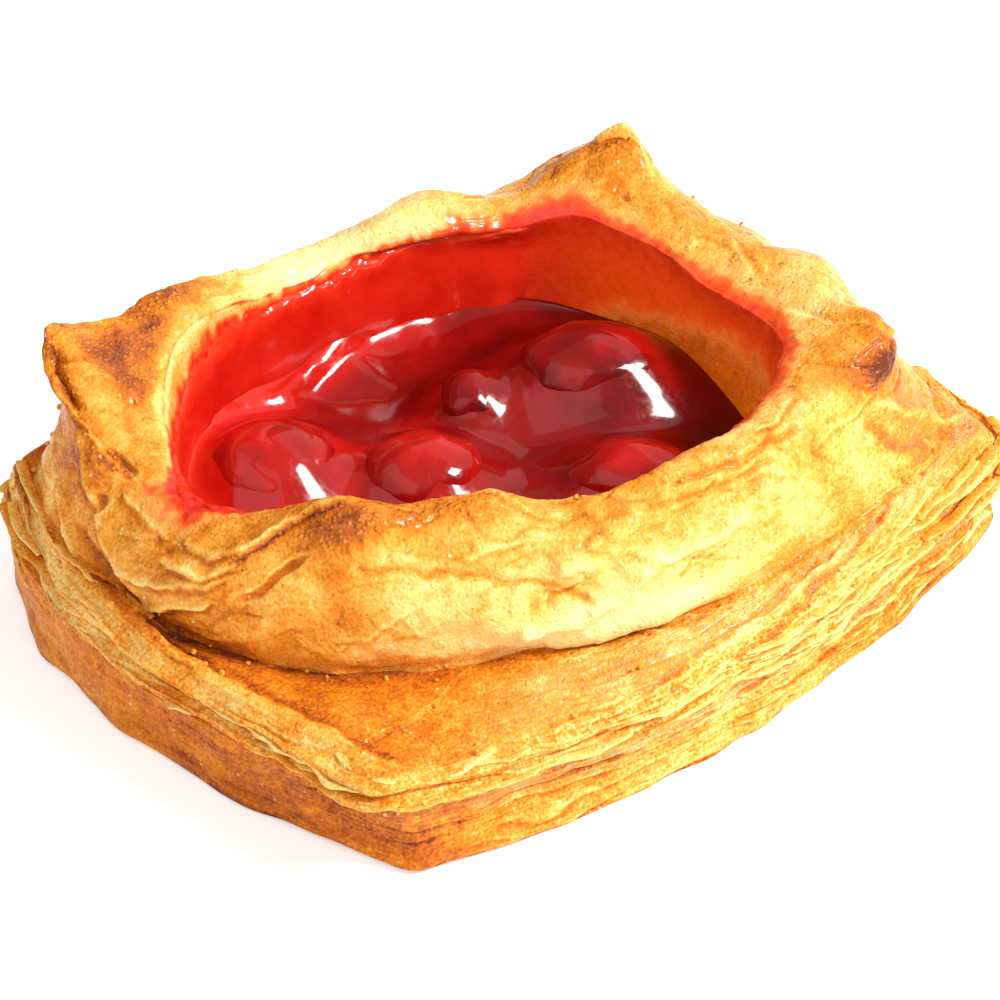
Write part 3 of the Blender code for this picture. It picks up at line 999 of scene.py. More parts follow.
@dataclass(frozen=True)
class CrustFinish:
    """Egg-washed puff pastry. Its tones run from pale dough to burnt."""

    tones: Ramp = (
        (0.00, tone(255, 232, 158)),
        (0.22, tone(255, 210, 120)),
        (0.42, tone(248, 168, 64)),
        (0.60, tone(225, 129, 24)),
        (0.78, tone(190, 94, 24)),
        (1.00, tone(112, 50, 22)),
    )
    stain: Ramp = (
        (0.00, tone(255, 196, 122)),
        (0.25, tone(252, 156, 74)),
        (0.50, tone(248, 104, 38)),
        (0.75, tone(234, 52, 20)),
        (1.00, tone(206, 22, 10)),
    )
    # The pale pink of the painted glints.
    painted_glint: Colour = tone(255, 222, 190)
    # The tone of the pale dots, which also paints the glints on them.
    dot: Colour = tone(255, 230, 176)
    # The colour of the painted glow: orange light that stands in for light shining through the thin wall.
    glow: Colour = (0.24, 0.03, 0.0)
    roughness: float = 0.50
    gloss: float = 0.26
    grain_depth: float = 0.26
    coat_roughness: float = 0.14
    sheen_level: float = 0.10

    def make(self) -> bpy.types.Material:
        """Makes the material, which reads the notes bake, stain, shine, leaf and glow.

        Returns:
            The material.
        """
        g = Graph("baked_crust")
        bake, stain, shine, leaf = g.note("bake"), g.note("stain"), g.note("shine"), g.note("leaf")
        cloud, fine, grit = g.noise(5.0, 2.0), g.noise(1.2, 2.0), g.noise(0.45, 1.0)
        clean = 1 - (stain * 3 + g.note("glow") * 2).clipped()
        patches = g.noise(2.8, 1.0)
        # Small pale dots: the dough's pale blisters, and their paleness also paints the glints that catch on
        # them.
        dots = (1 - g.cells(1.6).step(0.08, 0.22)) * patches.step(0.51, 0.60) * clean
        near = g.cells(0.85)
        pits = (1 - near.step(0.05, 0.22)) * (1 - patches.step(0.42, 0.54))
        line = g.streaks(1.3, 13.0)
        # Along the streaks a pale rim runs beside a darker line: the rim is a sheet's pale edge, and the
        # darker line is painted shade under it.
        painted_groove_shade, rims = line.crest(0.028), (line - 0.07).crest(0.024)
        thread = g.streaks(0.5, 9.0, 0.7)
        bubbles = (1 - near.step(0.08, 0.50)) * shine.step(0.66, 0.95) * clean
        level = bake + (cloud - 0.5) * 0.34 + (fine - 0.5) * 0.32 + (grit - 0.5) * (leaf * 0.7 + 0.34)
        # The pits are darker: painted shade in them.
        level = level - dots * 0.22 + pits * 0.12 - bubbles * 0.20
        level = level + leaf * ((thread - 0.5) * 0.42 + painted_groove_shade * 0.12 - rims * 0.16)
        # Pale pink flecks on the leafy, glossy crust: painted glints that stand in for small highlights.
        painted_glint = grit.step(0.51, 0.64) * (leaf * 4 - 1.2).clipped() * (shine * 2 - 0.5).clipped()
        colour = g.mix(painted_glint * 0.60, g.ramp(level.clipped(), self.tones), self.painted_glint)
        colour = g.mix(dots * 0.32, colour, self.dot)
        red = g.ramp((stain + (fine - 0.5) * 0.3).clipped(), self.stain)
        g.set("Base Color", g.mix((stain * 2.2).clipped(), colour, red))
        g.set("Roughness", (self.roughness - shine * self.gloss + (fine - 0.5) * 0.16).clipped())
        g.set("Coat Weight", (shine * 0.35 + stain * 0.6).clipped())
        g.set("Coat Roughness", self.coat_roughness)
        g.set("Specular IOR Level", self.sheen_level)
        # Emission where the note says: a painted glow, not a lamp.
        g.set("Emission Color", g.mix(g.note("glow"), (0.0, 0.0, 0.0), self.glow))
        g.set("Emission Strength", 1.0)
        relief = dots * 0.5 + fine * 0.7 + grit * 0.85 + painted_glint * 0.3 - pits * 0.5
        relief = (relief + bubbles * 1.2) * (1 - stain * 0.8)
        g.bump(relief + leaf * thread * 0.7, self.grain_depth)
        return g.material


@dataclass(frozen=True)
class JamFinish:
    """Clear glossy red jam: bright where it is thin, dark where it is deep."""

    depths: Ramp = (
        (0.00, tone(240, 84, 52)),
        (0.20, tone(230, 46, 20)),
        (0.50, tone(198, 20, 9)),
        (0.80, tone(138, 9, 5)),
        (1.00, tone(84, 3, 4)),
    )
    roughness: float = 0.24
    sheen_level: float = 0.08
    coat: float = 0.5
    coat_roughness: float = 0.09
    depth_share: float = 0.15
    depth_reach: float = 2.5
    depth_tint: Colour = (1.0, 0.08, 0.05)

    def make(self, name: str, waviness: float = 0.22) -> bpy.types.Material:
        """Makes the material, which reads the note deep.

        Args:
            name: The material's name.
            waviness: How deep its fine waves are, in mm.

        Returns:
            The material.
        """
        g = Graph(name)
        cloud = g.noise(4.0, 2.0)
        g.set("Base Color", g.ramp((g.note("deep") + (cloud - 0.5) * 0.22).clipped(), self.depths))
        g.set("Roughness", self.roughness)
        g.set("Specular IOR Level", self.sheen_level)
        g.set("Coat Weight", self.coat)
        g.set("Coat Roughness", self.coat_roughness)
        g.set("Subsurface Weight", self.depth_share)
        g.set("Subsurface Radius", self.depth_tint)
        g.set("Subsurface Scale", self.depth_reach * MM)
        g.bump(g.noise(2.4, 2.0), waviness)
        return g.material


@dataclass(frozen=True)
class Pastry:
    """The dough: its slab of leaves, its top flap and its frame, as three closed pieces."""

    form: DoughForm = DoughForm()
    columns: int = 760
    crowding: float = 0.45
    blisters: int = 260
    blister_rise: float = 0.24
    blister_reach: tuple[int, int] = (12, 6)
    chip_count: int = 70
    seed: int = 11
    side_calm: float = 2.2
    slab_sheets: Sheets = Sheets(1.9, gap=0.10)
    hair_sheets: Sheets = Sheets(0.7, 0.8, 0.2, 0.25, 37)
    flap_sheets: Sheets = Sheets(0.75, gap=0.16, seed=41)
    furrow_sheets: Sheets = Sheets(1.5, 1.2, 0.13, 0.22, 43)
    slab_runs: Runs = ((0, 1, 8), (1, 9, 110))
    flap_runs: Runs = ((9, 10, 6), (10, 14, 60), (14, 16, 50))
    frame_runs: Runs = ((16, 26, 70), (26, 30, 30), (30, 36, 20))
    slab_rings: Pairs = ((0.45, 6.5),)
    flap_rings: Pairs = ((0.70, 8.0), (0.80, 13.5), (0.45, 6.8))
    frame_rings: Pairs = ((0.45, 6.0), (0.86, 13.0))
    slab_tans: tuple[tuple[float, float, float], ...] = (
        (7.4, 0.6, 0.14), (7.9, 0.3, 0.15), (0.7, 0.7, -0.06), (1.7, 0.5, 0.14)
    )
    notch_depth: float = 2.2
    drawn_tips: Pairs = ((2.0, 1.3), (6.15, 2.4))
    facet_rise: float = 1.5

    def places(self) -> np.ndarray:
        """Where the columns stand, from the back corner on: closer together along the two front sides."""
        turn = (np.arange(self.columns) / self.columns + 0.5) % 1
        return (TURNS * turn - self.crowding * np.sin(2 * math.pi * turn)) % TURNS

    def band(self, lattice: np.ndarray, *runs: tuple[float, float, int]) -> Rind:
        """The surface over runs of rows.

        Args:
            lattice: The form's points at whole rows.
            runs: The first and last row of each run, and how many rows it has.

        Returns:
            The band.
        """
        rows = np.concatenate([np.linspace(a, b, n, endpoint=False) for a, b, n in runs] + [[runs[-1][1]]])
        return Rind(rows, self.places(), between_rows(lattice, rows, self.form))

    def folds(self, rind: Rind) -> tuple[np.ndarray, np.ndarray]:
        """What the lines and spots of the dough give a band.

        Args:
            rind: The band.

        Returns:
            The height in mm and the bake at each of its points. The darker grooves, dents and strips under
            laps in it are painted shade, and the paler ridges and rims painted light.
        """
        height = np.zeros(rind.points.shape[:2])
        bake = np.zeros_like(height)
        for line in (*FOLDS, *self.chips()):
            apart, side = rind.from_line(line.stops)
            if line.kind is Fold.LAP:
                step = eased(side, -0.3, 0.3) * np.exp(-np.maximum(side, 0) / (2.2 * line.width))
                height += line.rise * step * np.exp(-((apart / (3.0 * line.width)) ** 2))
                near = np.exp(-((apart / (2.0 * line.width)) ** 2))
                # A lap's upper sheet is paler at its edge, and the strip just under that edge darker: painted
                # shade under the edge.
                bake += 1.2 * near * line.bake * np.exp(-(((side - 0.35) / (0.4 * line.width)) ** 2))
                bake -= 1.3 * near * line.bake * np.exp(-(((side + 0.5) / (0.5 * line.width)) ** 2))
            else:
                sign = 1 if line.kind is Fold.RIDGE else -1
                swell = np.exp(-((apart / line.width) ** 2))
                height += sign * line.rise * swell
                # Most grooves are darker and most ridges paler: painted shade in the grooves and painted
                # light on the ridges.
                bake += line.bake * swell
        for spot in SPOTS:
            away = rind.from_spot(spot)
            core = np.exp(-(away**2) * 1.2)
            height -= spot.sink * np.exp(-(away**4))
            ring = np.exp(-(((away - 1.15) / 0.22) ** 2))
            height += 0.20 * max(spot.sink, 0) * ring
            # On a sunk spot the darker inside is painted shade in the dent, and the paler rim painted light.
            bake += spot.bake * core - spot.rim * ring
        return height, bake

    def chips(self) -> Iterable[Line]:
        """Short lapped edges scattered over the frame and the flap, where the crust has flaked.

        Returns:
            The edges, one after another.
        """
        draw = np.random.default_rng(self.seed + 9)
        for _ in range(self.chip_count):
            place, row = draw.uniform(0, TURNS), draw.uniform(14.5, 28.0)
            half, lean = draw.uniform(0.05, 0.14), draw.uniform(-0.8, 0.8)
            middle = place, row + draw.uniform(-0.5, 0.5)
            stops = ((place - half, row - lean), middle, (place + half, row + lean))
            sizes = [draw.uniform(*ends) for ends in ((0.4, 0.9), (0.15, 0.40), (-0.20, -0.06))]
            yield Line(Fold.LAP, stops, *sizes)

    def bumps(self, rind: Rind, seed: int, count: int, sizes: tuple[float, float]) -> np.ndarray:
        """Many small blisters scattered over a band.

        Args:
            rind: The band.
            seed: Which scatter this is.
            count: How many blisters there are.
            sizes: The least and greatest radius in mm.

        Returns:
            Their height in mm at each point.
        """
        draw = np.random.default_rng(seed)
        height = np.zeros(rind.points.shape[:2])
        for _ in range(count):
            row, column = draw.integers(height.shape[0]), draw.integers(height.shape[1])
            radius = draw.uniform(*sizes)
            up, across = self.blister_reach
            near = np.ix_(
                np.arange(max(row - up, 0), min(row + up + 1, height.shape[0])),
                np.arange(column - across, column + across + 1) % height.shape[1],
            )
            apart = np.linalg.norm(rind.points[near] - rind.points[row, column], axis=-1)
            height[near] += self.blister_rise * radius * np.exp(-((apart / radius) ** 2))
        return height

    def closed(self, rind: Rind, low: Pairs = (), high: Pairs = ()) -> np.ndarray:
        """The band's points with hidden rings before and after it, which lead inside the dough.

        Args:
            rind: The band.
            low: The rings before it, each as its share of the reach and its height in mm.
            high: The rings after it.

        Returns:
            The points with the hidden rings added.
        """
        before = [rind.points[0] * (share, share, 0) + (0, 0, height) for share, height in low]
        after = [rind.points[-1] * (share, share, 0) + (0, 0, height) for share, height in high]
        return np.concatenate([*(r[None] for r in before), rind.points, *(r[None] for r in after)])

    def padded(self, values: np.ndarray, low: int, high: int) -> np.ndarray:
        """Values with those of the first and last row repeated for the hidden rings."""
        return np.pad(values, ((low, high), (0, 0)), mode="edge")

    def make(self, look: bpy.types.Material) -> list[bpy.types.Object]:
        """Builds the three pieces of the dough.

        Args:
            look: Their material.

        Returns:
            The slab, the flap and the frame.
        """
        lattice = self.form.lattice(self.places())
        return [self.slab(lattice, look), self.flap(lattice, look), self.frame(lattice, look)]

    def leafy(self, places: np.ndarray) -> np.ndarray:
        """How much the sheets show: 1 on the right-front side, little on the left-front one."""
        return 0.2 + 0.8 * round_place(places, 1.3, 1.25, 4)

    def streaky(self, places: np.ndarray) -> np.ndarray:
        """How clear the fine streaks may be: they fade out where the first column meets the last."""
        return eased(np.abs(place_gap(places, 4.0)), 0.05, 0.4)[None, :]

    def flowing(self, places: np.ndarray) -> np.ndarray:
        """1 at the two corners where the frame flows into the flap with no crease."""
        return sum(round_place(places, corner, 0.42) for corner in (2.0, 6.0))

    def smoothed_side(self, lattice: np.ndarray) -> np.ndarray:
        """Fills most of the leaves' steps, as the baked side mostly is.

        Args:
            lattice: The form's points at whole rows.

        Returns:
            The lattice with its side smoothed.
        """
        rows = np.arange(1, self.form.flap_start - 1)
        share = np.exp(-(((rows[:, None] - rows[None, :]) / self.side_calm) ** 2))
        share /= share.sum(axis=1, keepdims=True)
        calm = np.tensordot(share, lattice[rows][..., :2], axes=1)
        made = lattice.copy()
        fill = (0.92 - 0.30 * self.leafy(self.places()))[..., None]
        made[rows, :, :2] += fill * (calm - made[rows, :, :2])
        return made

    def slab(self, lattice: np.ndarray, look: bpy.types.Material) -> bpy.types.Object:
        """The layered block that the flap lies on.

        Args:
            lattice: The form's points at whole rows.
            look: Its material.

        Returns:
            The piece.
        """
        rind = self.band(self.smoothed_side(lattice), *self.slab_runs)
        grain, points, z = Grain(self.seed), rind.points, rind.points[..., 2]
        leafy = self.leafy(rind.places)
        stand, gap, edge = self.slab_sheets.at(points)
        fine = self.hair_sheets.at(points)
        upper = eased(z, 5.0, 8.6)
        height = (stand * 0.55 - 0.34 * gap + 0.12 * edge) * leafy
        height += (0.8 * fine[0] - 0.28 * fine[1]) * leafy * (0.3 + 0.7 * upper)
        pores = np.minimum(grain.at(points, 1.1) + 0.35, 0)
        height += 0.10 * grain.at(points, 2.6) + 0.22 * pores + 0.45 * grain.at(points, (13.0, 13.0, 6.0))
        notch = round_place(rind.places, 2.0, 0.10) * np.exp(-(((z - 5.2) / 1.6) ** 2))
        height -= self.notch_depth * notch
        shape = rind.offset(height * eased(z, 0.1, 1.4))
        mottle = 0.11 * grain.at(points, (8.0, 8.0, 3.0)) + 0.06 * grain.at(points, (2.2, 2.2, 1.2))
        left = 1 - leafy
        # The gaps between the sheets are darker, which is painted shade in them; the sheets' edges are paler.
        bake = 0.45 + mottle + (0.24 * gap - 0.12 * edge) * leafy + 0.10 * (fine[1] - fine[2]) * leafy
        # The pores are darker: painted shade in them.
        bake += 0.15 * left + 0.36 * (1 - eased(z + 0.5 * grain.at(points, 3.0), 0.2, 0.9)) - 0.15 * pores
        # The top rows, under the flap's overhang, are darker: painted shade under the overhang.
        bake += 0.14 * eased(rind.rows, 8.3, 9.0)[:, None]
        for place, wide, more in self.slab_tans:
            bake += more * round_place(rind.places, place, wide)
        leaf = self.streaky(rind.places) * leafy * (0.45 + 0.55 * upper)
        shine = 0.10 + 0.50 * leafy * upper
        notes = {"bake": bake, "leaf": leaf, "shine": shine}
        notes = {key: self.padded(values, 0, 1) for key, values in notes.items()}
        mesh = drum_mesh("crust_slab", self.closed(shape, high=self.slab_rings), notes)
        return piece(mesh, look, "crust", "pastry")

    def flap(self, lattice: np.ndarray, look: bpy.types.Material) -> bpy.types.Object:
        """The loose top flap, with its split edge and its grainy top.

        Args:
            lattice: The form's points at whole rows.
            look: Its material.

        Returns:
            The piece.
        """
        rind = self.band(lattice, *self.flap_runs)
        grain, points, rows = Grain(self.seed + 1), rind.points, rind.rows[:, None]
        leafy, flow = self.leafy(rind.places), self.flowing(rind.places)
        height, bake = self.folds(rind)
        side, top = 1 - eased(rows, 13.4, 14.4), eased(rows, 13.6, 14.6)
        stand, gap, edge = self.flap_sheets.at(points)
        show = side * (0.60 + 0.40 * leafy)
        height = height + (0.40 * stand - 0.36 * gap + 0.12 * edge) * show
        reach = np.linalg.norm(points[..., :2], axis=-1)
        inward = np.stack([points[..., 0], points[..., 1], 0.9 * reach], axis=-1)
        furrow = self.furrow_sheets.at(inward)
        height += (furrow[0] - 0.35 * furrow[1]) * top * leafy * (1 - eased(rows, 15.0, 15.9))
        grit = grain.at(points, 1.5) + 0.6 * grain.at(points, 0.9)
        height += 0.08 * grit * (0.5 + 0.8 * leafy * top) + 0.45 * grain.at(points, 8.0) * top
        height += self.bumps(rind, self.seed + 2, self.blisters, (0.3, 0.7))
        height -= sum(size * round_place(rind.places, at, 0.3) for at, size in self.drawn_tips) * side
        shape = rind.offset(height * eased(np.abs(rows - 9.0), 0.2, 1.0))
        # The gaps between the sheets and the furrows on the flap's top are darker, which is painted shade in
        # them; the sheets' edges are paler.
        bake = bake + 0.43 + (0.14 * gap - 0.22 * edge) * show + 0.12 * furrow[1] * top * leafy - 0.03 * grit
        bake += 0.10 * grain.at(points, 7.0) + 0.06 * grain.at(points, 2.4) + 0.30 * (1 - leafy) * top
        # The flap's top is darker where it runs into the crease, except at the two flowing corners: painted
        # shade in the crease.
        bake += 0.20 * eased(rows, 15.3, 16.0) * (1 - flow)
        bake += 0.12 * (1 - eased(rows, 10.4, 11.6)) - 0.06 * leafy * top
        bake -= 0.17 * side * round_place(rind.places, 6.5, 0.5)
        shine = 0.25 + 0.55 * top * leafy + 0.3 * eased(bake, 0.55, 0.8)
        leaf = self.streaky(rind.places) * np.maximum(side * (0.40 + 0.45 * leafy), 0.12 + 0.34 * leafy)
        leaf = leaf * (1 - 0.6 * eased(rows, 15.2, 16.0))
        notes = {"bake": bake, "leaf": leaf, "shine": shine}
        notes = {key: self.padded(values, 1, 2) for key, values in notes.items()}
        mesh = drum_mesh("crust_flap", self.closed(shape, self.flap_rings[:1], self.flap_rings[1:]), notes)
        return piece(mesh, look, "crust", "pastry")

    def frame_relief(self, rind: Rind) -> tuple[np.ndarray, np.ndarray]:
        """The height in mm and the bake of the frame's surface.

        Args:
            rind: A band of the frame.

        Returns:
            The height and the bake at each of its points.
        """
        grain, points, rows = Grain(self.seed + 3), rind.points, rind.rows[:, None]
        height, bake = self.folds(rind)
        flow = self.flowing(rind.places)
        outside = 1 - eased(rows, 29.6, 31.0)
        swell = 0.45 * grain.at(points, 8.0) + 0.20 * grain.at(points, 3.2) + 0.10 * grain.at(points, 1.4)
        wrinkle = np.abs(grain.at(points, (6.0, 6.0, 2.4)))
        cracked = eased(grain.at(points, 9.0), 0.0, 0.5)
        height = (height + swell - 0.35 * np.exp(-((wrinkle / 0.06) ** 2)) * cracked) * outside
        facet = np.exp(-(((rows - 16.7) / 0.9) ** 2)) * round_place(rind.places, 0.74, 0.42, 4)
        height += self.facet_rise * facet
        high = eased(rows, 18.0, 26.0)
        # The foot of the face is darker at the crease, except at the two flowing corners: painted shade in
        # the crease.
        bake = bake + 0.28 + 0.13 * high + 0.14 * (1 - eased(rows, 16.0, 17.4)) * (1 - flow)
        bake += 0.16 * grain.at(points, 9.0) + 0.09 * grain.at(points, 3.6)
        bake += 0.20 * flow * (1 - eased(rows, 19.0, 26.0))
        left, bare = round_place(rind.places, 7.1, 0.8, 4), round_place(rind.places, 3.2, 1.3, 4)
        bake += 0.14 * left * (1 - eased(rows, 27.0, 30.0)) + 0.34 * bare * eased(rows, 30.2, 31.5)
        return height, bake + 0.08 * np.exp(-((wrinkle / 0.10) ** 2)) * outside

    def frame(self, lattice: np.ndarray, look: bpy.types.Material) -> bpy.types.Object:
        """The raised frame round the well.

        Args:
            lattice: The form's points at whole rows.
            look: Its material.

        Returns:
            The piece.
        """
        rind = self.band(lattice, *self.frame_runs)
        height, bake = self.frame_relief(rind)
        rows = rind.rows[:, None]
        outside = 1 - eased(rows, 29.6, 31.0)
        height += self.bumps(rind, self.seed + 4, 3 * self.blisters, (0.25, 0.6)) * outside
        shape = rind.offset(height)
        shine = (0.3 + 0.3 * eased(rows, 18.0, 26.0) + 0.4 * eased(bake, 0.5, 0.75)) * outside
        leaf = self.streaky(rind.places) * 0.5 * self.flowing(rind.places) * (1 - eased(rows, 18.0, 23.0))
        # The inner right wall gets an orange emission: a painted glow that stands in for light shining
        # through the thin wall.
        glow = round_place(rind.places, 2.9, 1.1, 4) * eased(rows, 29.4, 31.4)
        notes = {"bake": bake, "stain": RedJam().stain(rind), "shine": shine, "leaf": leaf, "glow": glow}
        notes = {key: self.padded(values, 2, 0) for key, values in notes.items()}
        mesh = drum_mesh("crust_frame", self.closed(shape, self.frame_rings), notes)
        return piece(mesh, look, "crust", "pastry")


@dataclass(frozen=True)
class Fruit:
    """One lump of fruit: its number, its middle, half of each size, and how it lies."""

    number: int
    centre: tuple[float, float, float]
    half: tuple[float, float, float]
    yaw: float
    pitch: float
    deep: float
    bend: float = 0.72

    def lie(self) -> np.ndarray:
        """The lump's turn as a matrix."""
        return np.array(Euler((math.radians(self.pitch), 0, math.radians(self.yaw))).to_matrix())

    def top(self, points: np.ndarray) -> np.ndarray:
        """How high the lump's top stands, running on down its own slope beyond its side.

        Args:
            points: Points whose x and y are read, in mm.

        Returns:
            The height over each point.
        """
        axes = self.lie() @ np.diag(self.half)
        form = np.linalg.inv(axes @ axes.T)
        x, y = points[..., 0] - self.centre[0], points[..., 1] - self.centre[1]
        a = form[2, 2]
        b = 2 * (form[0, 2] * x + form[1, 2] * y)
        c = form[0, 0] * x * x + 2 * form[0, 1] * x * y + form[1, 1] * y * y - 1
        out = np.sqrt(np.maximum(1 - (b * b - 4 * a * c) / (4 * a), 0))
        dome = math.sqrt(1 - self.bend**2) - (out - self.bend) * self.bend / math.sqrt(1 - self.bend**2)
        dome = np.where(out < self.bend, np.sqrt(np.maximum(1 - out * out, 0)), dome)
        return self.centre[2] + (2 * math.sqrt(a) * dome - b) / (2 * a)

    def make(self, look: bpy.types.Material, grain: Grain) -> bpy.types.Object:
        """Builds the lump, dented and creased under its glaze.

        Args:
            look: Its material.
            grain: What makes it uneven.

        Returns:
            The piece.
        """
        bm = bmesh.new()
        bmesh.ops.create_icosphere(bm, subdivisions=5, radius=1)
        way = np.array([v.co.normalized() for v in bm.verts])
        local = way * np.array(self.half)
        ridge = 0.34 * grain.at(local, (9.0, 3.2, 3.2)) + 0.45 * grain.at(local + 40.0, 6.0)
        ridge += 0.04 * grain.at(local, 1.5)
        points = ((local + way * ridge[:, None]) @ self.lie().T + np.array(self.centre) - BOX_MIDDLE) * MM
        for vertex, point in zip(bm.verts, points):
            vertex.co = point
        mesh = bpy.data.meshes.new(f"glazed_fruit_{self.number}")
        bm.to_mesh(mesh)
        bm.free()
        attribute = mesh.attributes.new("deep", "FLOAT", "POINT")
        height = points[:, 2] / MM - self.centre[2]
        values = self.deep - 0.18 * height / self.half[2] + 0.15 * grain.at(points / MM, 5.0)
        attribute.data.foreach_set("value", values.astype(np.float32))
        mesh.shade_smooth()
        return piece(mesh, look, "fruit", f"fruit_{self.number}")


FRUITS = (
    Fruit(1, (19.2, 4.2, 16.6), (10.8, 7.8, 7.4), -36, 8, 0.96),
    Fruit(2, (4.4, 10.6, 15.4), (5.2, 5.0, 5.6), 10, 0, 1.0),
    Fruit(3, (-24.4, 16.2, 17.4), (8.8, 8.2, 7.0), -30, -6, 0.70),
    Fruit(4, (-10.0, 3.8, 15.8), (8.4, 7.2, 6.6), -20, 4, 0.80),
    Fruit(5, (10.8, -13.0, 14.8), (9.4, 6.4, 6.0), -40, 2, 0.84),
)


@dataclass(frozen=True)
class RedJam:
    """The jam: its pool round the fruit, and its film on the wall and the lip."""

    form: DoughForm = DoughForm()
    columns: int = 480
    rings: int = 150
    level: float = 14.2
    fillet: float = 4.6
    skin: float = 0.12
    lie: float = -40.0
    cove: float = 10.0
    film: float = 0.75
    fold: Pairs = (
        (-23.5, 27.6), (-21.0, 29.0), (-17.1, 28.8), (-13.0, 28.0), (-9.7, 29.0), (-3.6, 30.0), (1.0, 30.6),
    )
    fold_height: float = 1.0
    fold_width: float = 1.2
    film_tops: Pairs = (
        (0.0, 30.5), (1.0, 30.2), (1.6, 29.3), (2.0, 29.2), (2.5, 28.7), (2.8, 28.8), (3.2, 29.6),
        (3.7, 29.2), (4.1, 28.9), (4.4, 29.6), (4.8, 30.1), (5.3, 30.2), (5.6, 30.4), (5.9, 30.75),
        (6.3, 30.75), (6.5, 29.7), (6.66, 28.2), (6.8, 26.9), (6.95, 26.4), (7.1, 27.6), (7.3, 29.4),
        (7.6, 30.5),
    )
    film_ends: Pairs = (
        (0.0, 31.2), (1.0, 31.3), (2.0, 31.2), (2.5, 31.0), (3.0, 31.4), (3.5, 32.4), (3.9, 34.0),
        (4.3, 36.0), (4.6, 38.0), (5.0, 40.0), (7.2, 40.0), (7.7, 33.0),
    )
    film_shown: Pairs = (
        (0.0, 1.0), (0.6, 1.0), (1.0, 0.0), (3.6, 0.0), (4.5, 1.0),
    )
    spreads: Pairs = (
        (0.0, 1.8), (1.6, 5.5), (2.4, 6.5), (3.6, 6.0), (4.1, 7.0), (4.6, 2.4), (5.4, 1.4), (6.3, 2.0),
        (6.55, 3.0), (6.7, 5.5), (6.9, 7.0), (7.05, 6.0), (7.2, 3.0), (7.4, 1.8),
    )
    film_runs: Runs = ((27, 31, 44), (31, 36, 40))
    film_back: float = 2.0
    back_step: int = 4

    def limit(self, stops: Pairs, places: np.ndarray) -> np.ndarray:
        """The row at which the film starts or ends, or another value that stops give.

        Args:
            stops: The place and value of each stop.
            places: Where round the dough the value is wanted.

        Returns:
            The value at each place.
        """
        at, rows = np.array(stops).T
        return np.interp(places, at, rows, period=TURNS)

    def cover(self, rind: Rind) -> np.ndarray:
        """How far inside the film's ragged edge each point lies.

        Args:
            rind: A band of the frame.

        Returns:
            The distance in mm, less than 0 outside the film.
        """
        grain = Grain(5)
        rows, tall = rind.rows[:, None], np.clip(rind.lengths[1], 0.6, 4.0)
        ragged = 0.8 * grain.at(rind.points, 2.6) + 0.5 * grain.at(rind.points, 1.1)
        top = rows - self.limit(self.film_tops, rind.places)[None, :]
        end = self.limit(self.film_ends, rind.places)[None, :] - rows
        return np.minimum(top, end) * tall + ragged

    def stain(self, rind: Rind) -> np.ndarray:
        """How red the jam has dyed the dough: it spreads out beyond the film.

        Args:
            rind: A band of the frame.

        Returns:
            The stain at each point, from 0 to 1.
        """
        spread = self.limit(self.spreads, rind.places)[None, :]
        ragged = 1 + 0.5 * Grain(8).at(rind.points, 4.0) + 0.4 * Grain(8).at(rind.points, 1.3)
        back = round_place(rind.places, 2.9, 1.5, 4)
        return (1 - 0.30 * back) * eased(self.cover(rind), -spread * ragged, 0.8) ** 1.4

    def coat(self, lattice: np.ndarray, pastry: Pastry, look: bpy.types.Material) -> bpy.types.Object:
        """The film of jam over the lip and down the wall.

        Args:
            lattice: The form's points at whole rows.
            pastry: The dough that it lies on.
            look: Its material.

        Returns:
            The piece.
        """
        rind = pastry.band(lattice, *self.film_runs)
        grain = Grain(6)
        cover = self.cover(rind)
        relief, _ = pastry.frame_relief(rind)
        shown = self.limit(self.film_shown, rind.places)[None, :]
        ragged = 0.30 * grain.at(rind.points, 6.0) + 0.04 * grain.at(rind.points, 1.8)
        shown = np.clip(shown + ragged * (shown < 1), 0, 1)
        thick = self.film * eased(cover, -0.2, 1.4) * shown - 0.25
        thick -= np.maximum(1.2 * eased(-cover, 0.2, 1.6), 0.45 * (1 - shown))
        runs = 0.28 * grain.at(rind.points, (9.0, 9.0, 14.0)) + 0.04 * grain.at(rind.points, 3.0)
        thick += runs * eased(cover, 0.4, 4.0) * shown
        outer = rind.offset(relief + thick)
        inner = rind.offset(relief - self.film_back)
        deep = 0.42 - 0.30 * (1 - eased(cover, 0.0, 3.2)) + 0.10 * grain.at(rind.points, 8.0)
        deep = deep - 0.20 * round_place(rind.places, 4.1, 0.6) + 0.12 * eased(rind.rows, 31, 35)[:, None]
        back = slice(None, None, -self.back_step)
        points = np.concatenate([outer.points, inner.points[back], outer.points[:1]])
        notes = {"deep": np.concatenate([deep, deep[back], deep[:1]])}
        mesh = drum_mesh("jam_film", points, notes, closed=False)
        return piece(mesh, look, "filling")

    def folded(self, flat: np.ndarray, grain: Grain) -> np.ndarray:
        """The height in mm of the fold in the jam's skin along the left wall.

        Args:
            flat: Points of x and y in mm.
            grain: What makes it uneven.

        Returns:
            The height at each point.
        """
        best = np.full(flat.shape[:2], 1e9)
        for a, b in itertools.pairwise(np.array(self.fold)):
            t = np.clip((flat - a) @ (b - a) / np.sum((b - a) ** 2), 0, 1)
            best = np.minimum(best, np.linalg.norm(flat - a - t[..., None] * (b - a), axis=-1))
        spots = np.concatenate([flat, np.zeros((*flat.shape[:2], 1))], axis=-1)
        width = self.fold_width * (1 + 0.35 * grain.at(spots, 4.0))
        return self.fold_height * (1 + 0.3 * grain.at(spots + 9.0, 3.0)) * np.exp(-((best / width) ** 2))

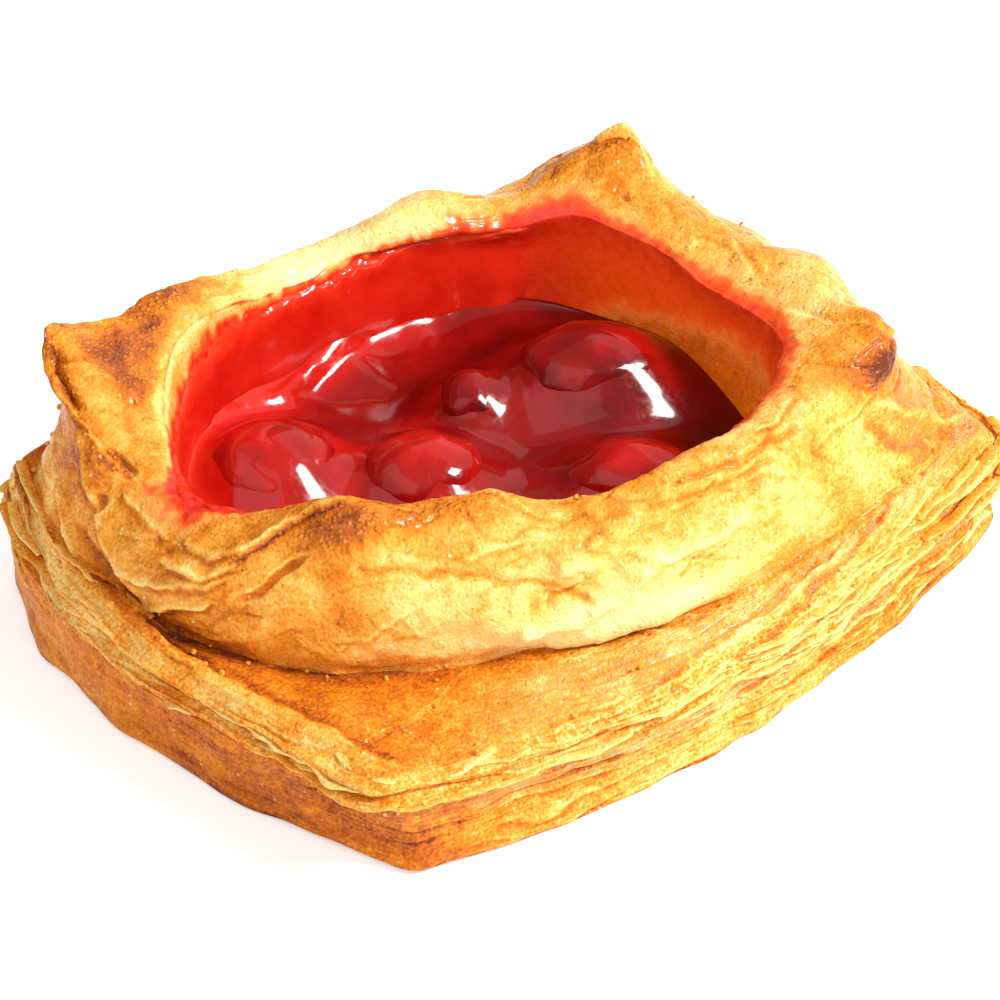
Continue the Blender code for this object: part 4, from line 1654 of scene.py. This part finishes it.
    def pool(self, look: bpy.types.Material) -> bpy.types.Object:
        """The pool of jam, with its rise at the wall and round each fruit.

        Args:
            look: Its material.

        Returns:
            The piece.
        """
        grain = Grain(7)
        sections = [self.form.section_at(TURNS * k / self.columns) for k in range(self.columns)]
        out = np.array([(s.edge_x / s.edge_reach, s.edge_y / s.edge_reach) for s in sections])
        rim = np.array([self.form.wall_reach(s, s.jam_z) for s in sections])
        edge_z = np.array([s.jam_z for s in sections])
        bottom = self.form.well_floor + GAP
        foot = np.array([self.form.wall_reach(s, bottom) for s in sections]) - GAP
        share = np.linspace(1.0, 0.004, self.rings)[:, None]
        flat = out[None] * (rim[None] * share)[..., None]
        inward = rim[None] * (1 - share)
        round_it = np.concatenate([out * 30.0, np.zeros((self.columns, 1))], axis=-1)
        cove = self.cove * (1 + 0.35 * grain.at(round_it, 9.0) + 0.15 * grain.at(round_it, 3.5))
        curve = 1 - np.clip(inward / cove[None], 0, 1)
        slope = self.level + (edge_z[None] - self.level) * (1 - np.sqrt(1 - curve**2))
        plane = np.concatenate([flat, np.zeros_like(slope)[..., None]], axis=-1)
        turned = plane @ np.array(Matrix.Rotation(math.radians(-self.lie), 3, "Z")).T
        ripple = 0.40 * grain.at(turned, (16.0, 8.0, 8.0)) + 0.12 * grain.at(turned, (8.0, 3.4, 3.0))
        height = slope + ripple * eased(inward, 0.0, 4.0)
        height = height + self.folded(flat, grain)
        for fruit in FRUITS:
            top = fruit.top(plane) - self.skin
            gap = np.clip(0.5 + 0.5 * (top - height) / self.fillet, 0, 1)
            height = height + (top - height) * gap + self.fillet * gap * (1 - gap)
        surface = np.concatenate([flat, height[..., None]], axis=-1)
        low = np.concatenate([out * foot[:, None], np.full((self.columns, 1), bottom)], axis=-1)
        points = np.concatenate([low[None], surface]) - BOX_MIDDLE
        deep = 0.80 + 0.004 * points[..., 0] + 0.14 * grain.at(points, 7.0)
        deep += 0.02 * (17.0 - points[..., 2])
        coated = round_place(TURNS * np.arange(self.columns) / self.columns, 6.0, 1.7, 4)
        deep[1:] -= 0.34 * coated * (1 - eased(inward, 0.0, 9.0))
        return piece(drum_mesh("jam_pool", points, {"deep": deep}), look, "filling", "jam")


@dataclass(frozen=True)
class Leaf:
    """A thin leaf that has come loose: where it is rooted, how far it reaches out and how it bends."""

    start: tuple[float, float]
    end: tuple[float, float]
    reach: float
    rise: float = 0.0
    bake: float = 0.35
    skew: float = 0.5


HAND_LEAVES = (
    Leaf((3.62, 24.8), (4.02, 25.2), 0.4, 1.4, 0.30, 0.72),
    Leaf((7.45, 10.9), (8.02, 10.6), 1.2, -0.3, 0.50, 0.86),
    Leaf((7.30, 12.6), (8.00, 12.2), 1.6, 0.3, 0.32, 0.80),
    Leaf((7.99, 10.5), (8.40, 11.0), 0.9, -0.3, 0.46, 0.15),
    Leaf((0.55, 12.4), (0.92, 12.9), 1.6, 0.6, 0.30, 0.60),
    Leaf((0.98, 11.6), (1.40, 12.0), 1.8, 1.3, 0.30, 0.50),
    Leaf((1.20, 13.4), (1.95, 13.2), 1.2, 0.7, 0.34, 0.80),
    Leaf((1.72, 9.8), (2.00, 9.2), 1.0, -0.6, 0.46, 0.80),
    Leaf((1.80, 12.4), (2.02, 13.0), 0.4, 0.6, 0.44, 0.60),
    Leaf((6.04, 14.0), (6.40, 15.0), 0.3, 0.8, 0.36, 0.55),
    Leaf((6.12, 11.4), (6.60, 11.8), 0.6, -0.5, 0.48, 0.45),
    Leaf((6.10, 7.6), (6.40, 6.6), 0.7, 0.5, 0.40, 0.45),
    Leaf((6.30, 15.2), (7.00, 15.0), 1.2, 0.6, 0.36, 0.50),
)


@dataclass(frozen=True)
class LooseLeaves:
    """The thin leaves that stand out from the sides, some listed one by one and the rest by rule."""

    thick: float = 0.28
    root: float = 1.3
    long: int = 36
    deep: int = 5
    scattered: int = 84
    seed: int = 71

    def leaves(self) -> Iterable[Leaf]:
        """All the leaves: those listed, then the scattered ones.

        Returns:
            The leaves, one after another.
        """
        yield from HAND_LEAVES
        draw = np.random.default_rng(self.seed)
        for k in range(self.scattered):
            place = draw.uniform(0.05, 2.4) if k % 3 else draw.uniform(2.4, 8.0)
            low = k % 4 == 0 and place < 2.4
            row = draw.uniform(2.0, 8.6) if low else draw.uniform(9.6, 13.9)
            span, lean = draw.uniform(0.10, 0.34), draw.uniform(-0.3, 0.3)
            reach, rise = draw.uniform(0.4, 1.0), draw.uniform(-0.4, 0.5)
            reach *= 0.3 if min(abs(place + span / 2 - corner) for corner in (2.0, 6.0)) < 0.45 else 1.0
            ends = (place, row - lean), (place + span, row + lean)
            yield Leaf(*ends, reach, rise, draw.uniform(0.18, 0.42), draw.uniform(0.2, 0.8))

    def make(self, lattice: np.ndarray, pastry: Pastry, look: bpy.types.Material) -> bpy.types.Object:
        """Builds the leaves as one piece.

        Args:
            lattice: The form's points at whole rows.
            pastry: The dough that they grow from.
            look: Their material.

        Returns:
            The piece.
        """
        bm = bmesh.new()
        note = bm.verts.layers.float.new("bake")
        places = pastry.places()
        grain = Grain(self.seed)
        order = np.argsort(places)
        around = places[order]
        t = np.linspace(0, 1, self.long + 1)
        for number, leaf in enumerate(self.leaves()):
            rows = leaf.start[1] + (leaf.end[1] - leaf.start[1]) * t
            span = leaf.end[0] - leaf.start[0]
            at = leaf.start[0] + span * t
            lines = between_rows(lattice, np.array([leaf.start[1], leaf.end[1]]), pastry.form)
            edge = [
                np.stack([np.interp(at, around, line[order, k], period=TURNS) for k in range(3)], axis=-1)
                for line in lines
            ]
            base = edge[0] + (edge[1] - edge[0]) * t[:, None]
            way = np.gradient(base, axis=0)
            out = np.stack([way[:, 1], -way[:, 0], np.zeros_like(t)], axis=-1)
            out /= np.linalg.norm(out, axis=-1, keepdims=True)
            peak = np.where(t < leaf.skew, t / leaf.skew, (1 - t) / (1 - leaf.skew))
            ragged = grain.at(base + number * 13.0, 1.6) * 0.35 + grain.at(base + number * 13.0, 5.0) * 0.5
            width = leaf.reach * np.clip(peak, 0, 1) ** 0.6 * (1 + ragged)
            s = np.linspace(0, 1, self.deep + 1)[None, :]
            points = base[:, None] + out[:, None] * (s * (width[:, None] + self.root) - self.root)[..., None]
            points[..., 2] += leaf.rise * s * s * peak[:, None] + 0.25 * grain.at(points + number * 7.0, 3.0)
            points[..., 2] = np.maximum(points[..., 2], 0.35)
            bakes = leaf.bake - 0.10 * s**3 + 0.20 * (1 - s) + 0.08 * grain.at(points, 2.5)
            made = bmesh.ops.create_grid(bm, x_segments=self.long, y_segments=self.deep, size=0.5)
            for vertex in made["verts"]:
                at = round((vertex.co.x + 0.5) * self.long), round((vertex.co.y + 0.5) * self.deep)
                vertex.co = points[at] * MM
                vertex[note] = bakes[at]
        bmesh.ops.solidify(bm, geom=bm.faces[:], thickness=self.thick * MM)
        bmesh.ops.recalc_face_normals(bm, faces=bm.faces)
        mesh = bpy.data.meshes.new("loose_leaves")
        bm.to_mesh(mesh)
        bm.free()
        mesh.shade_smooth()
        return piece(mesh, look, "crust")


@dataclass(frozen=True)
class Crumbs:
    """Small crumbs of crust, caught in the creases and on the ledges."""

    count: int = 90
    sizes: tuple[float, float] = (0.18, 0.50)
    bake: float = 0.45
    stand: float = 0.3
    seed: int = 83

    def make(self, lattice: np.ndarray, pastry: Pastry, look: bpy.types.Material) -> bpy.types.Object:
        """Builds the crumbs as one piece.

        Args:
            lattice: The form's points at whole rows.
            pastry: The dough that they lie on.
            look: Their material.

        Returns:
            The piece.
        """
        draw = np.random.default_rng(self.seed)
        bm = bmesh.new()
        rind = pastry.band(lattice, (9, 30, 84))
        normals = rind.normals()
        for k in range(self.count):
            row = draw.integers(20, 30) if k % 2 else draw.integers(4, 76)
            column = draw.integers(rind.points.shape[1])
            size = draw.uniform(*self.sizes)
            spot = rind.points[row, column]
            turn = Euler(draw.uniform(0, 6.28, 3)).to_matrix().to_4x4()
            stretch = Matrix.Diagonal((*(size * draw.uniform(0.6, 1.4, 3) * MM), 1))
            place = Matrix.Translation(Vector(spot + normals[row, column] * self.stand) * MM)
            bmesh.ops.create_icosphere(bm, subdivisions=1, radius=1, matrix=place @ turn @ stretch)
        mesh = bpy.data.meshes.new("crumbs")
        bm.to_mesh(mesh)
        bm.free()
        attribute = mesh.attributes.new("bake", "FLOAT", "POINT")
        attribute.data.foreach_set("value", np.full(len(mesh.vertices), self.bake, np.float32))
        return piece(mesh, look, "crust")


@dataclass(frozen=True)
class Panel:
    """A soft light: its bearing and height in degrees, its distance and size in metres, its watts."""

    name: str
    azimuth: float
    elevation: float
    away: float
    size: tuple[float, float]
    power: float


PANELS = (
    Panel("key_panel", 38.0, 46.0, 0.9, (0.22, 0.22), 8.2),
    Panel("side_panel", 92.0, 38.0, 1.0, (1.3, 0.9), 3.4),
    Panel("front_panel", -76.0, 48.0, 1.1, (1.3, 1.1), 4.2),
    Panel("low_panel", 2.0, 10.0, 1.0, (0.7, 0.3), 2.6),
    Panel("top_panel", -41.0, 84.0, 1.0, (1.5, 1.5), 3.0),
)


@dataclass(frozen=True)
class Stage:
    """The pale floor, the soft studio lights and the camera, with its target in mm."""

    azimuth: float = -41.0
    elevation: float = 41.0
    distance: float = 0.7
    lens: float = 201.6
    target: tuple[float, float, float] = (-5.385, -6.47, 18.0)
    sensor: float = 36.0
    floor_size: float = 6.0
    floor_light: float = 0.45
    sky_light: float = 0.16

    def bearing(self, azimuth: float, elevation: float) -> Vector:
        """The direction from the part to a point of the sky. Azimuth 0 is in front of it."""
        a, e = math.radians(azimuth), math.radians(elevation)
        return Vector((math.sin(a) * math.cos(e), -math.cos(a) * math.cos(e), math.sin(e)))

    def camera(self) -> None:
        """Sets up the camera at the photograph's viewing angle."""
        back = self.bearing(self.azimuth, self.elevation)
        right = Vector((math.cos(math.radians(self.azimuth)), math.sin(math.radians(self.azimuth)), 0))
        turn = Matrix((right, back.cross(right), back)).transposed().to_4x4()
        turn.translation = Vector(self.target) * MM + back * self.distance
        made = bpy.data.objects.new("camera", bpy.data.cameras.new("camera"))
        made.matrix_world = turn
        made.data.lens = self.lens
        made.data.sensor_width = self.sensor
        made.data.clip_start = 0.01
        bpy.context.scene.collection.objects.link(made)
        bpy.context.scene.camera = made

    def light(self, panel: Panel) -> None:
        """Hangs a soft panel light that faces the part.

        Args:
            panel: The light.
        """
        data = bpy.data.lights.new(panel.name, "AREA")
        data.shape = "RECTANGLE"
        data.size, data.size_y = panel.size
        data.energy = panel.power
        made = bpy.data.objects.new(panel.name, data)
        way = self.bearing(panel.azimuth, panel.elevation)
        made.location = way * panel.away
        made.rotation_mode = "QUATERNION"
        made.rotation_quaternion = way.to_track_quat("Z", "Y")
        bpy.context.scene.collection.objects.link(made)

    def floor(self) -> None:
        """Lays the pale floor."""
        bm = bmesh.new()
        bmesh.ops.create_grid(bm, x_segments=1, y_segments=1, size=self.floor_size / 2)
        mesh = bpy.data.meshes.new("floor")
        bm.to_mesh(mesh)
        bm.free()
        g = Graph("pale_floor")
        g.set("Base Color", g.mix(g.noise(400.0), (0.93, 0.93, 0.93), (0.95, 0.95, 0.95)))
        g.set("Roughness", 0.9)
        g.set("Specular IOR Level", 0.1)
        g.set("Emission Color", (1.0, 1.0, 1.0))
        g.set("Emission Strength", self.floor_light)
        mesh.materials.append(g.material)
        made = bpy.data.objects.new("floor", mesh)
        bpy.context.scene.collection.objects.link(made)
        made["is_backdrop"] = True

    def make(self) -> None:
        """Builds the whole stage."""
        scene = bpy.context.scene
        self.camera()
        self.floor()
        for panel in PANELS:
            self.light(panel)
        world = bpy.data.worlds.new("studio")
        world.use_nodes = True
        sky = world.node_tree.nodes["Background"]
        sky.inputs["Color"].default_value = (1, 1, 1, 1)
        sky.inputs["Strength"].default_value = self.sky_light
        scene.world = world
        scene.view_settings.view_transform = "Standard"
        scene.cycles.use_denoising = True
        scene.cycles.max_bounces = 4
        scene.cycles.diffuse_bounces = scene.cycles.glossy_bounces = 2


def main() -> None:
    """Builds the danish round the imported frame, and its stage."""
    logging.basicConfig(level=logging.INFO, format="%(message)s")
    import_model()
    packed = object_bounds()
    crust = CrustFinish().make()
    jam = JamFinish().make("red_jam")
    pastry = Pastry()
    pastry.make(crust)
    lattice = pastry.form.lattice(pastry.places())
    LooseLeaves().make(lattice, pastry, crust)
    Crumbs().make(lattice, pastry, crust)
    red_jam = RedJam()
    red_jam.coat(lattice, pastry, jam)
    red_jam.pool(jam)
    skin = JamFinish().make("glazed_fruit", waviness=0.32)
    for fruit in FRUITS:
        fruit.make(skin, Grain(20 + fruit.number))
    Stage().make()
    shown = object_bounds()
    [[list(corner) for corner in box] for box in (packed, shown)]


if __name__ == "__main__":
    main()
